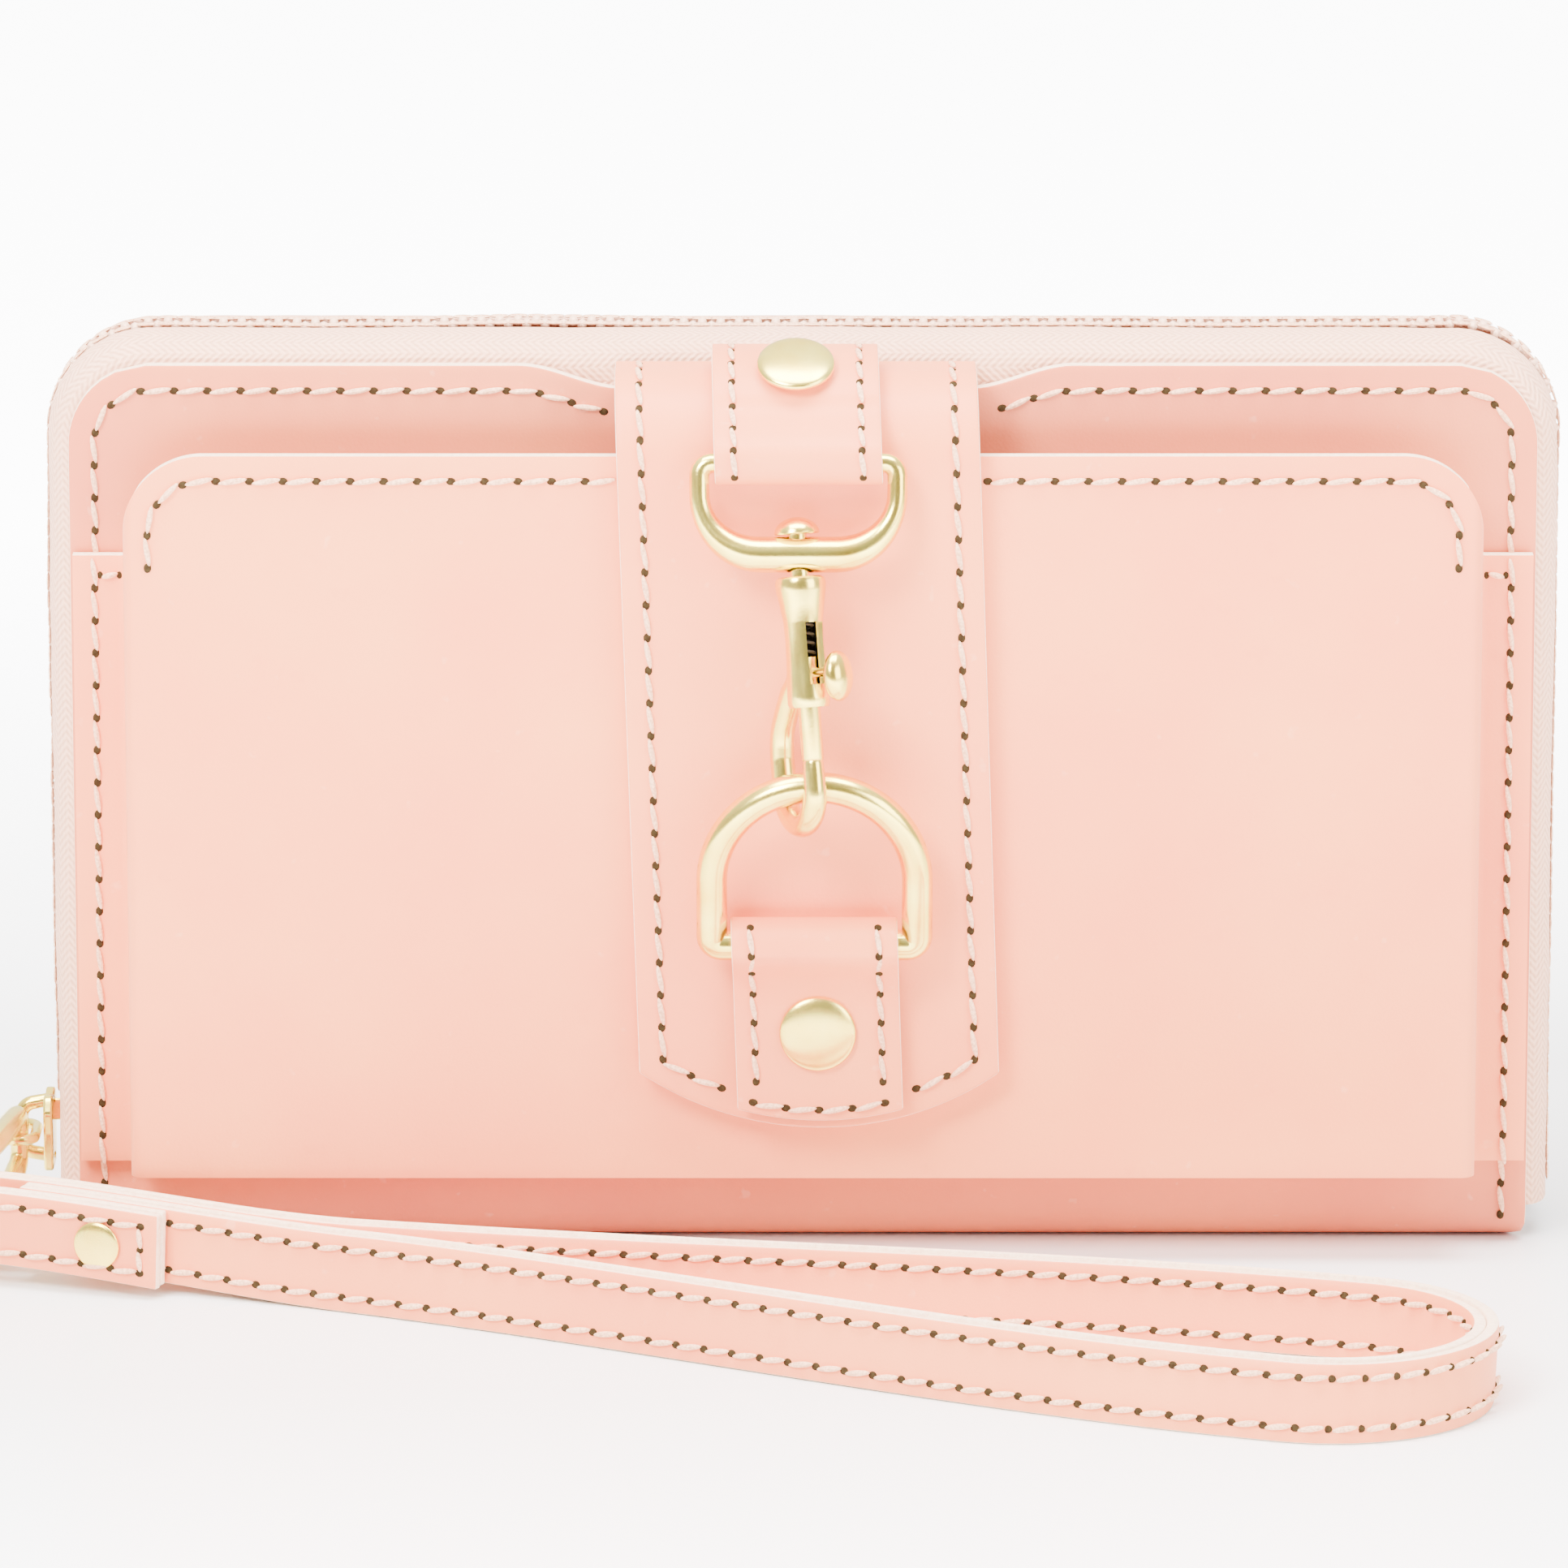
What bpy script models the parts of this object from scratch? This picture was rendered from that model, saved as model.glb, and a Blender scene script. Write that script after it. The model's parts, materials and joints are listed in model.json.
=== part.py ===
"""Zip-around wristlet wallet that stands on its spine. Metres; X right, Y back, Z up, origin under the spine."""

from math import asin, atan2, cos, pi, radians, sin, sqrt, tan

import bmesh
import bpy
from mathutils import Matrix, Vector

# Clearances
GAP = 0.0003            # between pieces that touch
PIN_GAP = 0.0004        # round a bar or a pin in its hole

# Covers
PANEL_WIDTH = 0.182
PANEL_HEIGHT = 0.112
PANEL_THICK = 0.002
CASE_DEPTH = 0.026
TOP_RADIUS = 0.010
FOOT_RADIUS = 0.0016
SPINE_RADIUS = 0.005
LINING_THICK = 0.0008

# Zip
TAPE_THICK = 0.0007
TAPE_SEAM = 0.006       # how far the tape reaches in under the cover
ZIP_BULGE = 0.0036      # how far the zip stands out past the covers
COIL_WIDTH = 0.0019
COIL_THICK = 0.0014
COIL_GAP = 0.0018       # between the two coils, where the slider's bridge runs
TAPE_FOOT = 0.004
SLIDER_LENGTH = 0.010
SLIDER_WIDTH = 0.0085
SLIDER_FOOT = 0.0065

# Card pockets and divider
CARD_INSET = 0.016      # from the covers' side edges
CARD_DROPS = (0.016, 0.034)    # from the covers' top edge
LEAF_THICK = 0.0006
DIVIDER_INSET = 0.011
DIVIDER_DROP = 0.020
DIVIDER_DEPTH = 0.0056

# Phone pocket
POCKET_INSET = 0.0072
POCKET_DEPTH = 0.0107
POCKET_FOOT = 0.0111
POCKET_DROP = 0.0094    # from the covers' top edge to the pocket's
POCKET_WALL = 0.002
POCKET_RADIUS = 0.010
FLANGE_WIDTH = 0.0067
FLANGE_DROP = 0.0141    # from the pocket's top edge to the flanges'

# Closure tab
TAB_WIDTH = 0.0446
TAB_PLY = 0.00135
TAB_REACH = 0.0128      # from the lower rivet to the tab's foot
BEND_RADIUS = 0.0073    # inside the bend over the pocket's top edge
TAB_ARC = 0.007         # height of the curved bottom edge
TAB_LEAN = radians(1.93)
TAB_SHIFT = -0.0009     # sideways place of the tab at its top
MAGNET_RADIUS = 0.006
MAGNET_RISE = 0.0376    # above the tab's foot

# Chapes, the leather loops on the tab
CHAPE_WIDTH = 0.0205
CHAPE_THICK = 0.0024
CHAPE_ROOT = 0.0025     # how far the upper chape starts behind the bend
RIVET_HEAD = 0.00475
RIVET_DOME = 0.0014
RIVET_SHANK = 0.0014
UPPER_RIVET_ANGLE = radians(30)    # round the bend, from the vertical
LOWER_RIVET_DROP = 0.0115    # below the D-ring's bar

# D-ring
RING_WIRE = 0.0019
RING_SIDE_GAP = 0.0005
RING_CORNER = 0.0012
RING_RISE = 0.0087
RING_TILT = radians(12)

# Swivel hook, measured down its own axis from the eye's bar
EYE_WIRE = 0.0011
EYE_SHOULDER = 0.00155
EYE_BAR_DROP = 0.009    # below the covers' top edge
HOOK_SPAN = 0.0603      # from the eye's bar down to the D-ring's
EYE_DROP = 0.0112
EYE_SWELL = 2.0         # how much thicker the eye is round the post
BARREL_TOP = 0.0139
BARREL_LENGTH = 0.016
BARREL_RADIUS = 0.0029
BARREL_END = 0.0024
BORE_RADIUS = 0.0016
BOLT_RADIUS = 0.00135
BOLT_REACH = 0.0365
BOLT_TRAVEL = 0.005
ARM_RADIUS = 0.0015
ARM_OFFSET = 0.0088
HOOK_TURN = radians(25)
KNOB_TURN = radians(-35)
POST_RADIUS = 0.0012
SPRING_WIRE = 0.0002
SPRING_TURNS = 6

# Pull ring, link and wrist strap
LINK_WIRE = 0.0007
CROWN_WIRE = 0.0009
PULL_WIRE = 0.0011
PULL_LENGTH = 0.0235
PULL_NARROW = 0.0062
PULL_WIDE = 0.0122
PULL_FOOT = 0.00125     # height of the lower limb at the strap
PULL_SWING = radians(9)
STRAP_HEIGHT = 0.0092
STRAP_THICK = 0.003
STRAP_RIVET = 0.003
STRAP_REACH = 0.193
STRAP_SLOPE = radians(19)
STRAP_LOOP = 0.0185     # half the width of the loop at its far end
STRAP_JOINED = 0.026    # length from the pull bar to the cut end
STRAP_RIVET_AT = 0.0182
STRAP_PLY_GAP = 0.0004
STRAP_TILT = radians(12)

# Levels worked out from the sizes above
FRONT_FACE = -CASE_DEPTH / 2
BACK_FACE = CASE_DEPTH / 2
INNER_FACE = BACK_FACE - PANEL_THICK
SEAM_FACE = INNER_FACE - GAP - TAPE_THICK
LINING_FACE = SEAM_FACE - GAP - LINING_THICK
POCKET_BACK = FRONT_FACE - GAP
POCKET_FACE = FRONT_FACE - POCKET_DEPTH - GAP
POCKET_WIDTH = PANEL_WIDTH - 2 * POCKET_INSET
POCKET_TOP = PANEL_HEIGHT - POCKET_DROP
FLANGE_TOP = POCKET_TOP - FLANGE_DROP
CARD_WIDTH = PANEL_WIDTH - 2 * CARD_INSET
DIVIDER_WIDTH = PANEL_WIDTH - 2 * DIVIDER_INSET
DIVIDER_HEIGHT = PANEL_HEIGHT - DIVIDER_DROP
EYE_BAR_HEIGHT = PANEL_HEIGHT - EYE_BAR_DROP
EYE_HALF = CHAPE_WIDTH / 2 + GAP + EYE_SHOULDER
RING_BAR_HEIGHT = EYE_BAR_HEIGHT - HOOK_SPAN
LOWER_RIVET_HEIGHT = RING_BAR_HEIGHT - LOWER_RIVET_DROP
TAB_FOOT = LOWER_RIVET_HEIGHT - TAB_REACH
MAGNET_HEIGHT = TAB_FOOT + MAGNET_RISE
TAB_BACK = POCKET_FACE - GAP
TAB_FACE = TAB_BACK - 2 * TAB_PLY - GAP
CHAPE_BACK = TAB_FACE - GAP
RING_HALF = CHAPE_WIDTH / 2 + RING_SIDE_GAP + RING_WIRE
TAB_THICK = 2 * TAB_PLY + GAP
NOTCH_HEIGHT = PANEL_HEIGHT - TAB_THICK
BEND_HEIGHT = NOTCH_HEIGHT + GAP - BEND_RADIUS
BEND_DEPTH = TAB_BACK + BEND_RADIUS
TAB_ROOT = FRONT_FACE + PANEL_THICK - 2 * GAP
ZIP_X = -(PANEL_WIDTH / 2 + ZIP_BULGE - COIL_THICK / 2)
CROWN_X = ZIP_X - 0.0052
SLIDER_MIDDLE = SLIDER_FOOT + SLIDER_LENGTH / 2

FRONTAL = Matrix(((1, 0, 0), (0, 0, -1), (0, 1, 0))).to_4x4()    # outline in XZ, thickness along Y
SIDEWAYS = Matrix(((0, 0, 1), (1, 0, 0), (0, 1, 0))).to_4x4()    # outline in YZ, thickness along X
FLAT = Matrix.Identity(4)                                        # outline in XY, thickness along Z

LEATHER = ((0.83, 0.50, 0.42), 0.55, 0.0)
LINING = ((0.80, 0.55, 0.48), 0.75, 0.0)
TAPE = ((0.90, 0.68, 0.62), 0.85, 0.0)
GOLD = ((0.91, 0.83, 0.60), 0.22, 1.0)
STEEL = ((0.60, 0.58, 0.55), 0.35, 1.0)


def collections():
    parts = bpy.data.collections.new("wristlet_wallet")
    cutters = bpy.data.collections.new("cutters")
    for one in (parts, cutters):
        bpy.context.scene.collection.children.link(one)
    return parts, cutters


def material(name, look):
    made = bpy.data.materials.new(name)
    made.use_nodes = True
    shader = made.node_tree.nodes["Principled BSDF"]
    shader.inputs["Base Color"].default_value = (*look[0], 1)
    shader.inputs["Roughness"].default_value = look[1]
    shader.inputs["Metallic"].default_value = look[2]
    return made


def add(name, data, matrix=FLAT, look=None):
    """Links an object: a part when it has a look, a cutter when it has none."""
    made = bpy.data.objects.new(name, data)
    made.matrix_world = matrix
    if look:
        data.materials.append(material(name, look))
        PARTS.objects.link(made)
    else:
        CUTTERS.objects.link(made)
        made.hide_render = True
        made.display_type = "WIRE"
    return made


def arcPoints(centre, radius, start, end, count):
    turns = [start + (end - start) * i / (count - 1) for i in range(count)]
    return [(centre[0] + radius * cos(a), centre[1] + radius * sin(a)) for a in turns]


def rounded(corners, count=6):
    """An outline's points from (x, y, radius) corners, each round corner an arc."""
    points = []
    for i, (x, y, radius) in enumerate(corners):
        if not radius:
            points.append((x, y))
            continue
        here = Vector((x, y))
        back = (Vector(corners[i - 1][:2]) - here).normalized()
        ahead = (Vector(corners[(i + 1) % len(corners)][:2]) - here).normalized()
        half = back.angle(ahead) / 2
        centre = here + (back + ahead).normalized() * radius / sin(half)
        first = here + back * radius / tan(half) - centre
        last = here + ahead * radius / tan(half) - centre
        turn = first.angle_signed(last)
        for k in range(count + 1):
            spoke = first.copy()
            spoke.rotate(Matrix.Rotation(-turn * k / count, 2))
            points.append(tuple(centre + spoke))
    return points


def outlineCurve(name, outlines, thick):
    curve = bpy.data.curves.new(name, "CURVE")
    curve.dimensions = "2D"
    curve.fill_mode = "BOTH"
    curve.extrude = thick / 2
    for points in outlines:
        spline = curve.splines.new("POLY")
        spline.points.add(len(points) - 1)
        for point, (x, y) in zip(spline.points, points):
            point.co = (x, y, 0, 1)
        spline.use_cyclic_u = True
    return curve


def plate(name, outlines, matrix, low, high, look=None):
    """A flat outline, holes and all, between two levels of the axis it is thick along."""
    axis = matrix.to_3x3() @ Vector((0, 0, 1))
    sign = 1 if sum(axis) > 0 else -1
    shift = Matrix.Translation(axis * sign * (low + high) / 2)
    return add(name, outlineCurve(name, outlines, high - low), shift @ matrix, look)


def wire(name, points, radius, closed=False, swell=None, matrix=FLAT, look=None, sides=2):
    curve = bpy.data.curves.new(name, "CURVE")
    curve.dimensions = "3D"
    curve.bevel_depth = radius
    curve.bevel_resolution = sides
    curve.use_fill_caps = True
    curve.twist_mode = "MINIMUM"
    spline = curve.splines.new("POLY")
    spline.points.add(len(points) - 1)
    for i, (point, place) in enumerate(zip(spline.points, points)):
        point.co = (*place, 1)
        point.radius = swell[i] if swell else 1
    spline.use_cyclic_u = closed
    return add(name, curve, matrix, look)


def asMesh(made):
    """Turns a curve object into a welded mesh object of the same name, place and look."""
    bpy.context.view_layer.update()
    graph = bpy.context.evaluated_depsgraph_get()
    mesh = bpy.data.meshes.new_from_object(made.evaluated_get(graph))
    work = bmesh.new()
    work.from_mesh(mesh)
    bmesh.ops.remove_doubles(work, verts=work.verts, dist=1e-6)
    bmesh.ops.recalc_face_normals(work, faces=work.faces)
    work.to_mesh(mesh)
    work.free()
    name = made.name
    home = made.users_collection[0]
    matrix = made.matrix_world.copy()
    bpy.data.objects.remove(made)
    mesh.name = name
    solid = bpy.data.objects.new(name, mesh)
    solid.matrix_world = matrix
    if home == CUTTERS:
        solid.hide_render = True
        solid.display_type = "WIRE"
    home.objects.link(solid)
    return solid


def block(name, low, high, look=None):
    work = bmesh.new()
    bmesh.ops.create_cube(work, size=1)
    size = [b - a for a, b in zip(low, high)]
    bmesh.ops.scale(work, verts=work.verts, vec=size)
    bmesh.ops.translate(work, verts=work.verts, vec=[(a + b) / 2 for a, b in zip(low, high)])
    mesh = bpy.data.meshes.new(name)
    work.to_mesh(mesh)
    work.free()
    return add(name, mesh, FLAT, look)


def rod(name, radius, length, matrix, look=None, sides=24):
    work = bmesh.new()
    bmesh.ops.create_cone(
        work, cap_ends=True, segments=sides, radius1=radius, radius2=radius, depth=length
    )
    mesh = bpy.data.meshes.new(name)
    work.to_mesh(mesh)
    work.free()
    return add(name, mesh, matrix, look)


def turned(name, profile, matrix, look=None, sides=24):
    """A profile of (radius, height) points, top to bottom down its outer side, turned about Z."""
    work = bmesh.new()
    points = [work.verts.new((radius, 0, height)) for radius, height in profile]
    edges = [work.edges.new(pair) for pair in zip(points, points[1:])]
    if profile[0][0] and profile[-1][0]:
        edges.append(work.edges.new((points[-1], points[0])))
    mesh = bpy.data.meshes.new(name)
    work.to_mesh(mesh)
    work.free()
    made = add(name, mesh, matrix, look)
    screw = made.modifiers.new("turn", "SCREW")
    screw.steps = sides
    screw.render_steps = sides
    screw.use_merge_vertices = True
    screw.merge_threshold = 1e-6
    return made


def combine(target, other, operation):
    """Joins, cuts or keeps the shared part of two solids, and keeps the result as the target's mesh."""
    if other.type == "CURVE":
        other = asMesh(other)
    change = target.modifiers.new(operation.lower(), "BOOLEAN")
    change.object = other
    change.operation = operation
    change.solver = "EXACT"
    return target


def baked(made):
    """Applies an object's modifiers, so that later cuts start from the plain mesh."""
    bpy.context.view_layer.update()
    graph = bpy.context.evaluated_depsgraph_get()
    mesh = bpy.data.meshes.new_from_object(made.evaluated_get(graph))
    made.modifiers.clear()
    made.data = mesh
    return made


def leanAt(height):
    return TAB_SHIFT + (PANEL_HEIGHT - height) * tan(TAB_LEAN)


def leaned(made):
    """Slides a piece of the tab sideways with its height, so that the tab hangs a little off plumb."""
    if made.type == "CURVE":
        made = asMesh(made)
    made = baked(made)
    shear = Matrix.Identity(4)
    shear[0][2] = -tan(TAB_LEAN)
    shear[0][3] = leanAt(0)
    made.data.transform(shear @ made.matrix_world)
    made.matrix_world = Matrix.Identity(4)
    return made


def faceOutline(width, foot, top, topRadius, footRadius):
    half = width / 2
    return rounded([
        (-half, foot, footRadius), (half, foot, footRadius),
        (half, top, topRadius), (-half, top, topRadius),
    ])


def sleeve(name, low, high, wall, look):
    """A flat pouch, open at the top."""
    outer = block(name, low, high, look)
    inner = block(
        name + "_space",
        (low[0] + wall, low[1] + wall, low[2] + wall),
        (high[0] - wall, high[1] - wall, high[2] + wall),
    )
    return combine(outer, inner, "DIFFERENCE")


def covers():
    """The front cover with its spine in one piece, and the back cover, hinged at the spine's edge."""
    shape = faceOutline(PANEL_WIDTH, 0, PANEL_HEIGHT, TOP_RADIUS, FOOT_RADIUS)
    over = PANEL_HEIGHT + PANEL_THICK
    reach = PANEL_WIDTH / 2 + PANEL_THICK
    inside = FRONT_FACE + PANEL_THICK
    edge = INNER_FACE - GAP
    bend = rounded([
        (FRONT_FACE, over, 0), (FRONT_FACE, 0, SPINE_RADIUS), (edge, 0, 0),
        (edge, PANEL_THICK, 0), (inside, PANEL_THICK, SPINE_RADIUS - PANEL_THICK), (inside, over, 0),
    ])
    front = asMesh(plate("front_cover", [bend], SIDEWAYS, -reach, reach, LEATHER))
    combine(front, plate("cover_shape", [shape], FRONTAL, -CASE_DEPTH, CASE_DEPTH), "INTERSECT")
    side = TAB_WIDTH / 2 + 2 * GAP
    notch = block(
        "tab_notch", (leanAt(PANEL_HEIGHT) - side, FRONT_FACE - GAP, NOTCH_HEIGHT),
        (leanAt(PANEL_HEIGHT) + side, inside + GAP, over),
    )
    combine(front, notch, "DIFFERENCE")
    round_foot = PANEL_THICK * 0.495
    back_bend = rounded([
        (INNER_FACE, over, 0), (INNER_FACE, 0, round_foot),
        (BACK_FACE, 0, round_foot), (BACK_FACE, over, 0),
    ])
    back = asMesh(plate("back_cover", [back_bend], SIDEWAYS, -reach, reach, LEATHER))
    combine(back, plate("back_shape", [shape], FRONTAL, -CASE_DEPTH, CASE_DEPTH), "INTERSECT")


def linings():
    foot = SPINE_RADIUS
    shape = faceOutline(PANEL_WIDTH - 2 * GAP, foot, PANEL_HEIGHT - GAP, TOP_RADIUS, 0.001)
    plate("front_lining", [shape], FRONTAL, -LINING_FACE - LINING_THICK, -LINING_FACE, LINING)
    plate("back_lining", [shape], FRONTAL, LINING_FACE, LINING_FACE + LINING_THICK, LINING)


def cardPockets():
    """Two stepped card leaves on each lining, and a pouch that stands between them on the spine."""
    foot = PANEL_THICK + 2 * GAP
    for side, word in ((-1, "front"), (1, "back")):
        face = LINING_FACE
        for number, drop in enumerate(CARD_DROPS, 1):
            near = face - GAP - LEAF_THICK
            low, high = sorted((side * near, side * (near + LEAF_THICK)))
            shape = faceOutline(CARD_WIDTH, foot, PANEL_HEIGHT - drop, 0.003, 0.001)
            plate(f"{word}_card_pocket_{number}", [shape], FRONTAL, low, high, LINING)
            face = near
    half = DIVIDER_WIDTH / 2
    depth = DIVIDER_DEPTH / 2
    sleeve("divider_pouch", (-half, -depth, foot), (half, depth, DIVIDER_HEIGHT), LEAF_THICK, LINING)


def zipPath():
    half = PANEL_WIDTH / 2
    path = rounded([
        (-half, TAPE_FOOT, 0), (-half, PANEL_HEIGHT, TOP_RADIUS),
        (half, PANEL_HEIGHT, TOP_RADIUS), (half, TAPE_FOOT, 0),
    ], 10)
    return path


def sweep(name, profile, look):
    """A profile of (distance past the cover's edge, depth) points, carried round three sides of the case."""
    profile = [(-past, depth) for past, depth in profile]    # the path runs clockwise, with the case on its right
    guide = add(name + "_profile", outlineCurve(name + "_profile", [profile], 0))
    guide.data.fill_mode = "NONE"
    curve = bpy.data.curves.new(name, "CURVE")
    curve.dimensions = "2D"
    curve.fill_mode = "NONE"
    curve.bevel_mode = "OBJECT"
    curve.bevel_object = guide
    curve.use_fill_caps = True
    path = zipPath()
    spline = curve.splines.new("POLY")
    spline.points.add(len(path) - 1)
    for point, (x, y) in zip(spline.points, path):
        point.co = (x, y, 0, 1)
    return asMesh(add(name, curve, FRONTAL, look))


def zipHalves():
    """Each tape starts under its cover and curls out to the coil that runs along its free edge."""
    coil_near = COIL_GAP / 2
    coil_far = coil_near + COIL_WIDTH
    rise = ZIP_BULGE - COIL_THICK / 2
    start = SEAM_FACE + TAPE_THICK / 2
    end = coil_far + GAP
    curl = start - end
    middle = [(-TAPE_SEAM, start)]
    for turn in (0, 18, 36, 54, 72, 90):
        angle = radians(turn)
        middle.append((rise * sin(angle), end + curl * cos(angle) ** 0.8 if turn < 90 else end))
    half = TAPE_THICK / 2
    outer = []
    inner = []
    for i, point in enumerate(middle):
        before = Vector(middle[max(i - 1, 0)])
        after = Vector(middle[min(i + 1, len(middle) - 1)])
        along = (after - before).normalized()
        across = Vector((-along.y, along.x)) * half
        outer.append(tuple(Vector(point) + across))
        inner.append(tuple(Vector(point) - across))
    tape = outer + inner[::-1]
    low = ZIP_BULGE - COIL_THICK
    coil = [(low, coil_near), (low, coil_far), (ZIP_BULGE, coil_far), (ZIP_BULGE, coil_near)]
    for side, word in ((1, "front"), (-1, "back")):
        sweep(f"zip_tape_{word}", [(x, side * y) for x, y in tape], TAPE)
        sweep(f"zip_coil_{word}", [(x, side * y) for x, y in coil], TAPE)


def phonePocket():
    """A box pocket with side flanges that are sewn to the front cover; its back is the cover itself."""
    half = POCKET_WIDTH / 2
    wing = half + FLANGE_WIDTH
    shape = rounded([
        (-wing, POCKET_FOOT, 0.001), (wing, POCKET_FOOT, 0.001), (wing, FLANGE_TOP, 0.002),
        (half, FLANGE_TOP, 0), (half, POCKET_TOP, POCKET_RADIUS),
        (-half, POCKET_TOP, POCKET_RADIUS), (-half, FLANGE_TOP, 0), (-wing, FLANGE_TOP, 0.002),
    ])
    body = asMesh(plate("phone_pocket", [shape], FRONTAL, POCKET_FACE, POCKET_BACK, LEATHER))
    room = half - POCKET_WALL
    space = block(
        "phone_space",
        (-room, POCKET_FACE + POCKET_WALL, POCKET_FOOT + POCKET_WALL),
        (room, POCKET_BACK + POCKET_WALL, POCKET_TOP + POCKET_WALL),
    )
    combine(body, space, "DIFFERENCE")
    for side in (-1, 1):
        near, far = sorted((side * half, side * (wing + POCKET_WALL)))
        beside = block(
            f"beside_pocket_{near < 0}",
            (near, POCKET_FACE - POCKET_WALL, 0),
            (far, POCKET_BACK - POCKET_WALL, PANEL_HEIGHT),
        )
        combine(body, beside, "DIFFERENCE")
    face = POCKET_FACE + POCKET_WALL + GAP
    rod(
        "magnet_socket", MAGNET_RADIUS, POCKET_WALL / 2,
        Matrix.Translation((leanAt(MAGNET_HEIGHT), face + POCKET_WALL / 4, MAGNET_HEIGHT)) @ FRONTAL, STEEL,
    )


def tabBand(inner, outer, root, foot):
    """Side outline of a leather band that bends over the top of the case and hangs to the height foot."""
    centre = (BEND_DEPTH, BEND_HEIGHT)
    near = BEND_RADIUS + inner
    far = BEND_RADIUS + outer
    return (
        [(root, BEND_HEIGHT + far)] + arcPoints(centre, far, pi / 2, pi, 14)
        + [(BEND_DEPTH - far, foot), (BEND_DEPTH - near, foot)]
        + arcPoints(centre, near, pi, pi / 2, 14) + [(root, BEND_HEIGHT + near)]
    )


def tabShape(width, foot, top):
    """Front outline of the tab, whose foot is a shallow arc."""
    half = TAB_WIDTH / 2
    radius = (half * half + TAB_ARC * TAB_ARC) / (2 * TAB_ARC)
    reach = asin(width / 2 / radius)
    arc = arcPoints((0, TAB_FOOT + radius), radius - foot, -pi / 2 - reach, -pi / 2 + reach, 16)
    return arc + [(width / 2, top), (-width / 2, top)]


def rivetHole(name, matrix, length):
    return rod(name, RIVET_SHANK + PIN_GAP, length, matrix)


def upperRivetPlace():
    angle = pi / 2 + UPPER_RIVET_ANGLE
    radius = BEND_RADIUS
    place = Vector((leanAt(PANEL_HEIGHT), BEND_DEPTH + radius * cos(angle), BEND_HEIGHT + radius * sin(angle)))
    return Matrix.Translation(place) @ Matrix.Rotation(angle - pi / 2, 4, "X")


def lowerRivetPlace():
    place = Vector((leanAt(LOWER_RIVET_HEIGHT), TAB_BACK, LOWER_RIVET_HEIGHT))
    return Matrix.Translation(place) @ Matrix.Rotation(pi / 2, 4, "X")


def bandPiece(name, inner, outer, root, foot, shape, look):
    wide = max(abs(x) for x, y in shape) + GAP * 4
    band = asMesh(plate(name, [tabBand(inner, outer, root, foot)], SIDEWAYS, -wide, wide, look))
    cutter = plate(name + "_shape", [shape], FRONTAL, -PANEL_HEIGHT, PANEL_THICK)
    return combine(band, cutter, "INTERSECT")


def closureTab():
    """Two plies over the top edge and down the pocket, with a magnet let into the inner ply."""
    top = PANEL_HEIGHT * 1.2
    shape = tabShape(TAB_WIDTH, 0, top)
    plies = (
        ("tab_lining", 0, TAB_PLY, LINING),
        ("closure_tab", TAB_PLY + GAP, 2 * TAB_PLY + GAP, LEATHER),
    )
    for name, inner, outer, look in plies:
        ply = leaned(bandPiece(name, inner, outer, TAB_ROOT, TAB_FOOT / 2, shape, look))
        for word, place in (("upper", upperRivetPlace()), ("lower", lowerRivetPlace())):
            combine(ply, rivetHole(f"{name}_{word}_hole", place, 0.012), "DIFFERENCE")
        if name == "tab_lining":
            seat = Matrix.Translation((leanAt(MAGNET_HEIGHT), TAB_BACK, MAGNET_HEIGHT)) @ FRONTAL
            combine(ply, rod("magnet_seat", MAGNET_RADIUS + GAP, 0.006, seat), "DIFFERENCE")
    middle = TAB_BACK - TAB_PLY / 2
    place = Matrix.Translation((leanAt(MAGNET_HEIGHT), middle, MAGNET_HEIGHT)) @ FRONTAL
    rod("tab_magnet", MAGNET_RADIUS, TAB_PLY, place, STEEL)


def chapeEnd(name, chape, wireRadius, height):
    """The rolled end of a chape with the hole for its bar; returns how far out the bar lies."""
    wall = CHAPE_THICK / 2
    hole = wireRadius + PIN_GAP
    centre = CHAPE_BACK - wall - hole - GAP / 3
    place = Matrix.Translation((0, centre, height)) @ SIDEWAYS
    combine(chape, rod(name + "_roll", wall + hole, CHAPE_WIDTH, place), "UNION")
    combine(chape, rod(name + "_bar_hole", hole, CHAPE_WIDTH * 1.2, place), "DIFFERENCE")


def barDepth(wireRadius):
    return CHAPE_BACK - CHAPE_THICK / 2 - wireRadius - PIN_GAP - GAP / 3


def chapes():
    offset = 2 * TAB_PLY + 2 * GAP
    top = PANEL_HEIGHT * 1.2
    half = CHAPE_WIDTH / 2
    upper_shape = [(-half, EYE_BAR_HEIGHT), (half, EYE_BAR_HEIGHT), (half, top), (-half, top)]
    root = BEND_DEPTH + CHAPE_ROOT
    upper = bandPiece(
        "upper_chape", offset, offset + CHAPE_THICK, root, EYE_BAR_HEIGHT / 2, upper_shape, LEATHER,
    )
    chapeEnd("upper_chape", upper, EYE_WIRE, EYE_BAR_HEIGHT)
    upper = leaned(upper)
    combine(upper, rivetHole("upper_chape_hole", upperRivetPlace(), 0.012), "DIFFERENCE")
    lower_shape = tabShape(CHAPE_WIDTH, 0.0016, RING_BAR_HEIGHT)
    lower = bandPiece(
        "lower_chape", offset, offset + CHAPE_THICK, root, TAB_FOOT / 2, lower_shape, LEATHER,
    )
    chapeEnd("lower_chape", lower, RING_WIRE, RING_BAR_HEIGHT)
    lower = leaned(lower)
    combine(lower, rivetHole("lower_chape_hole", lowerRivetPlace(), 0.016), "DIFFERENCE")


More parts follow.
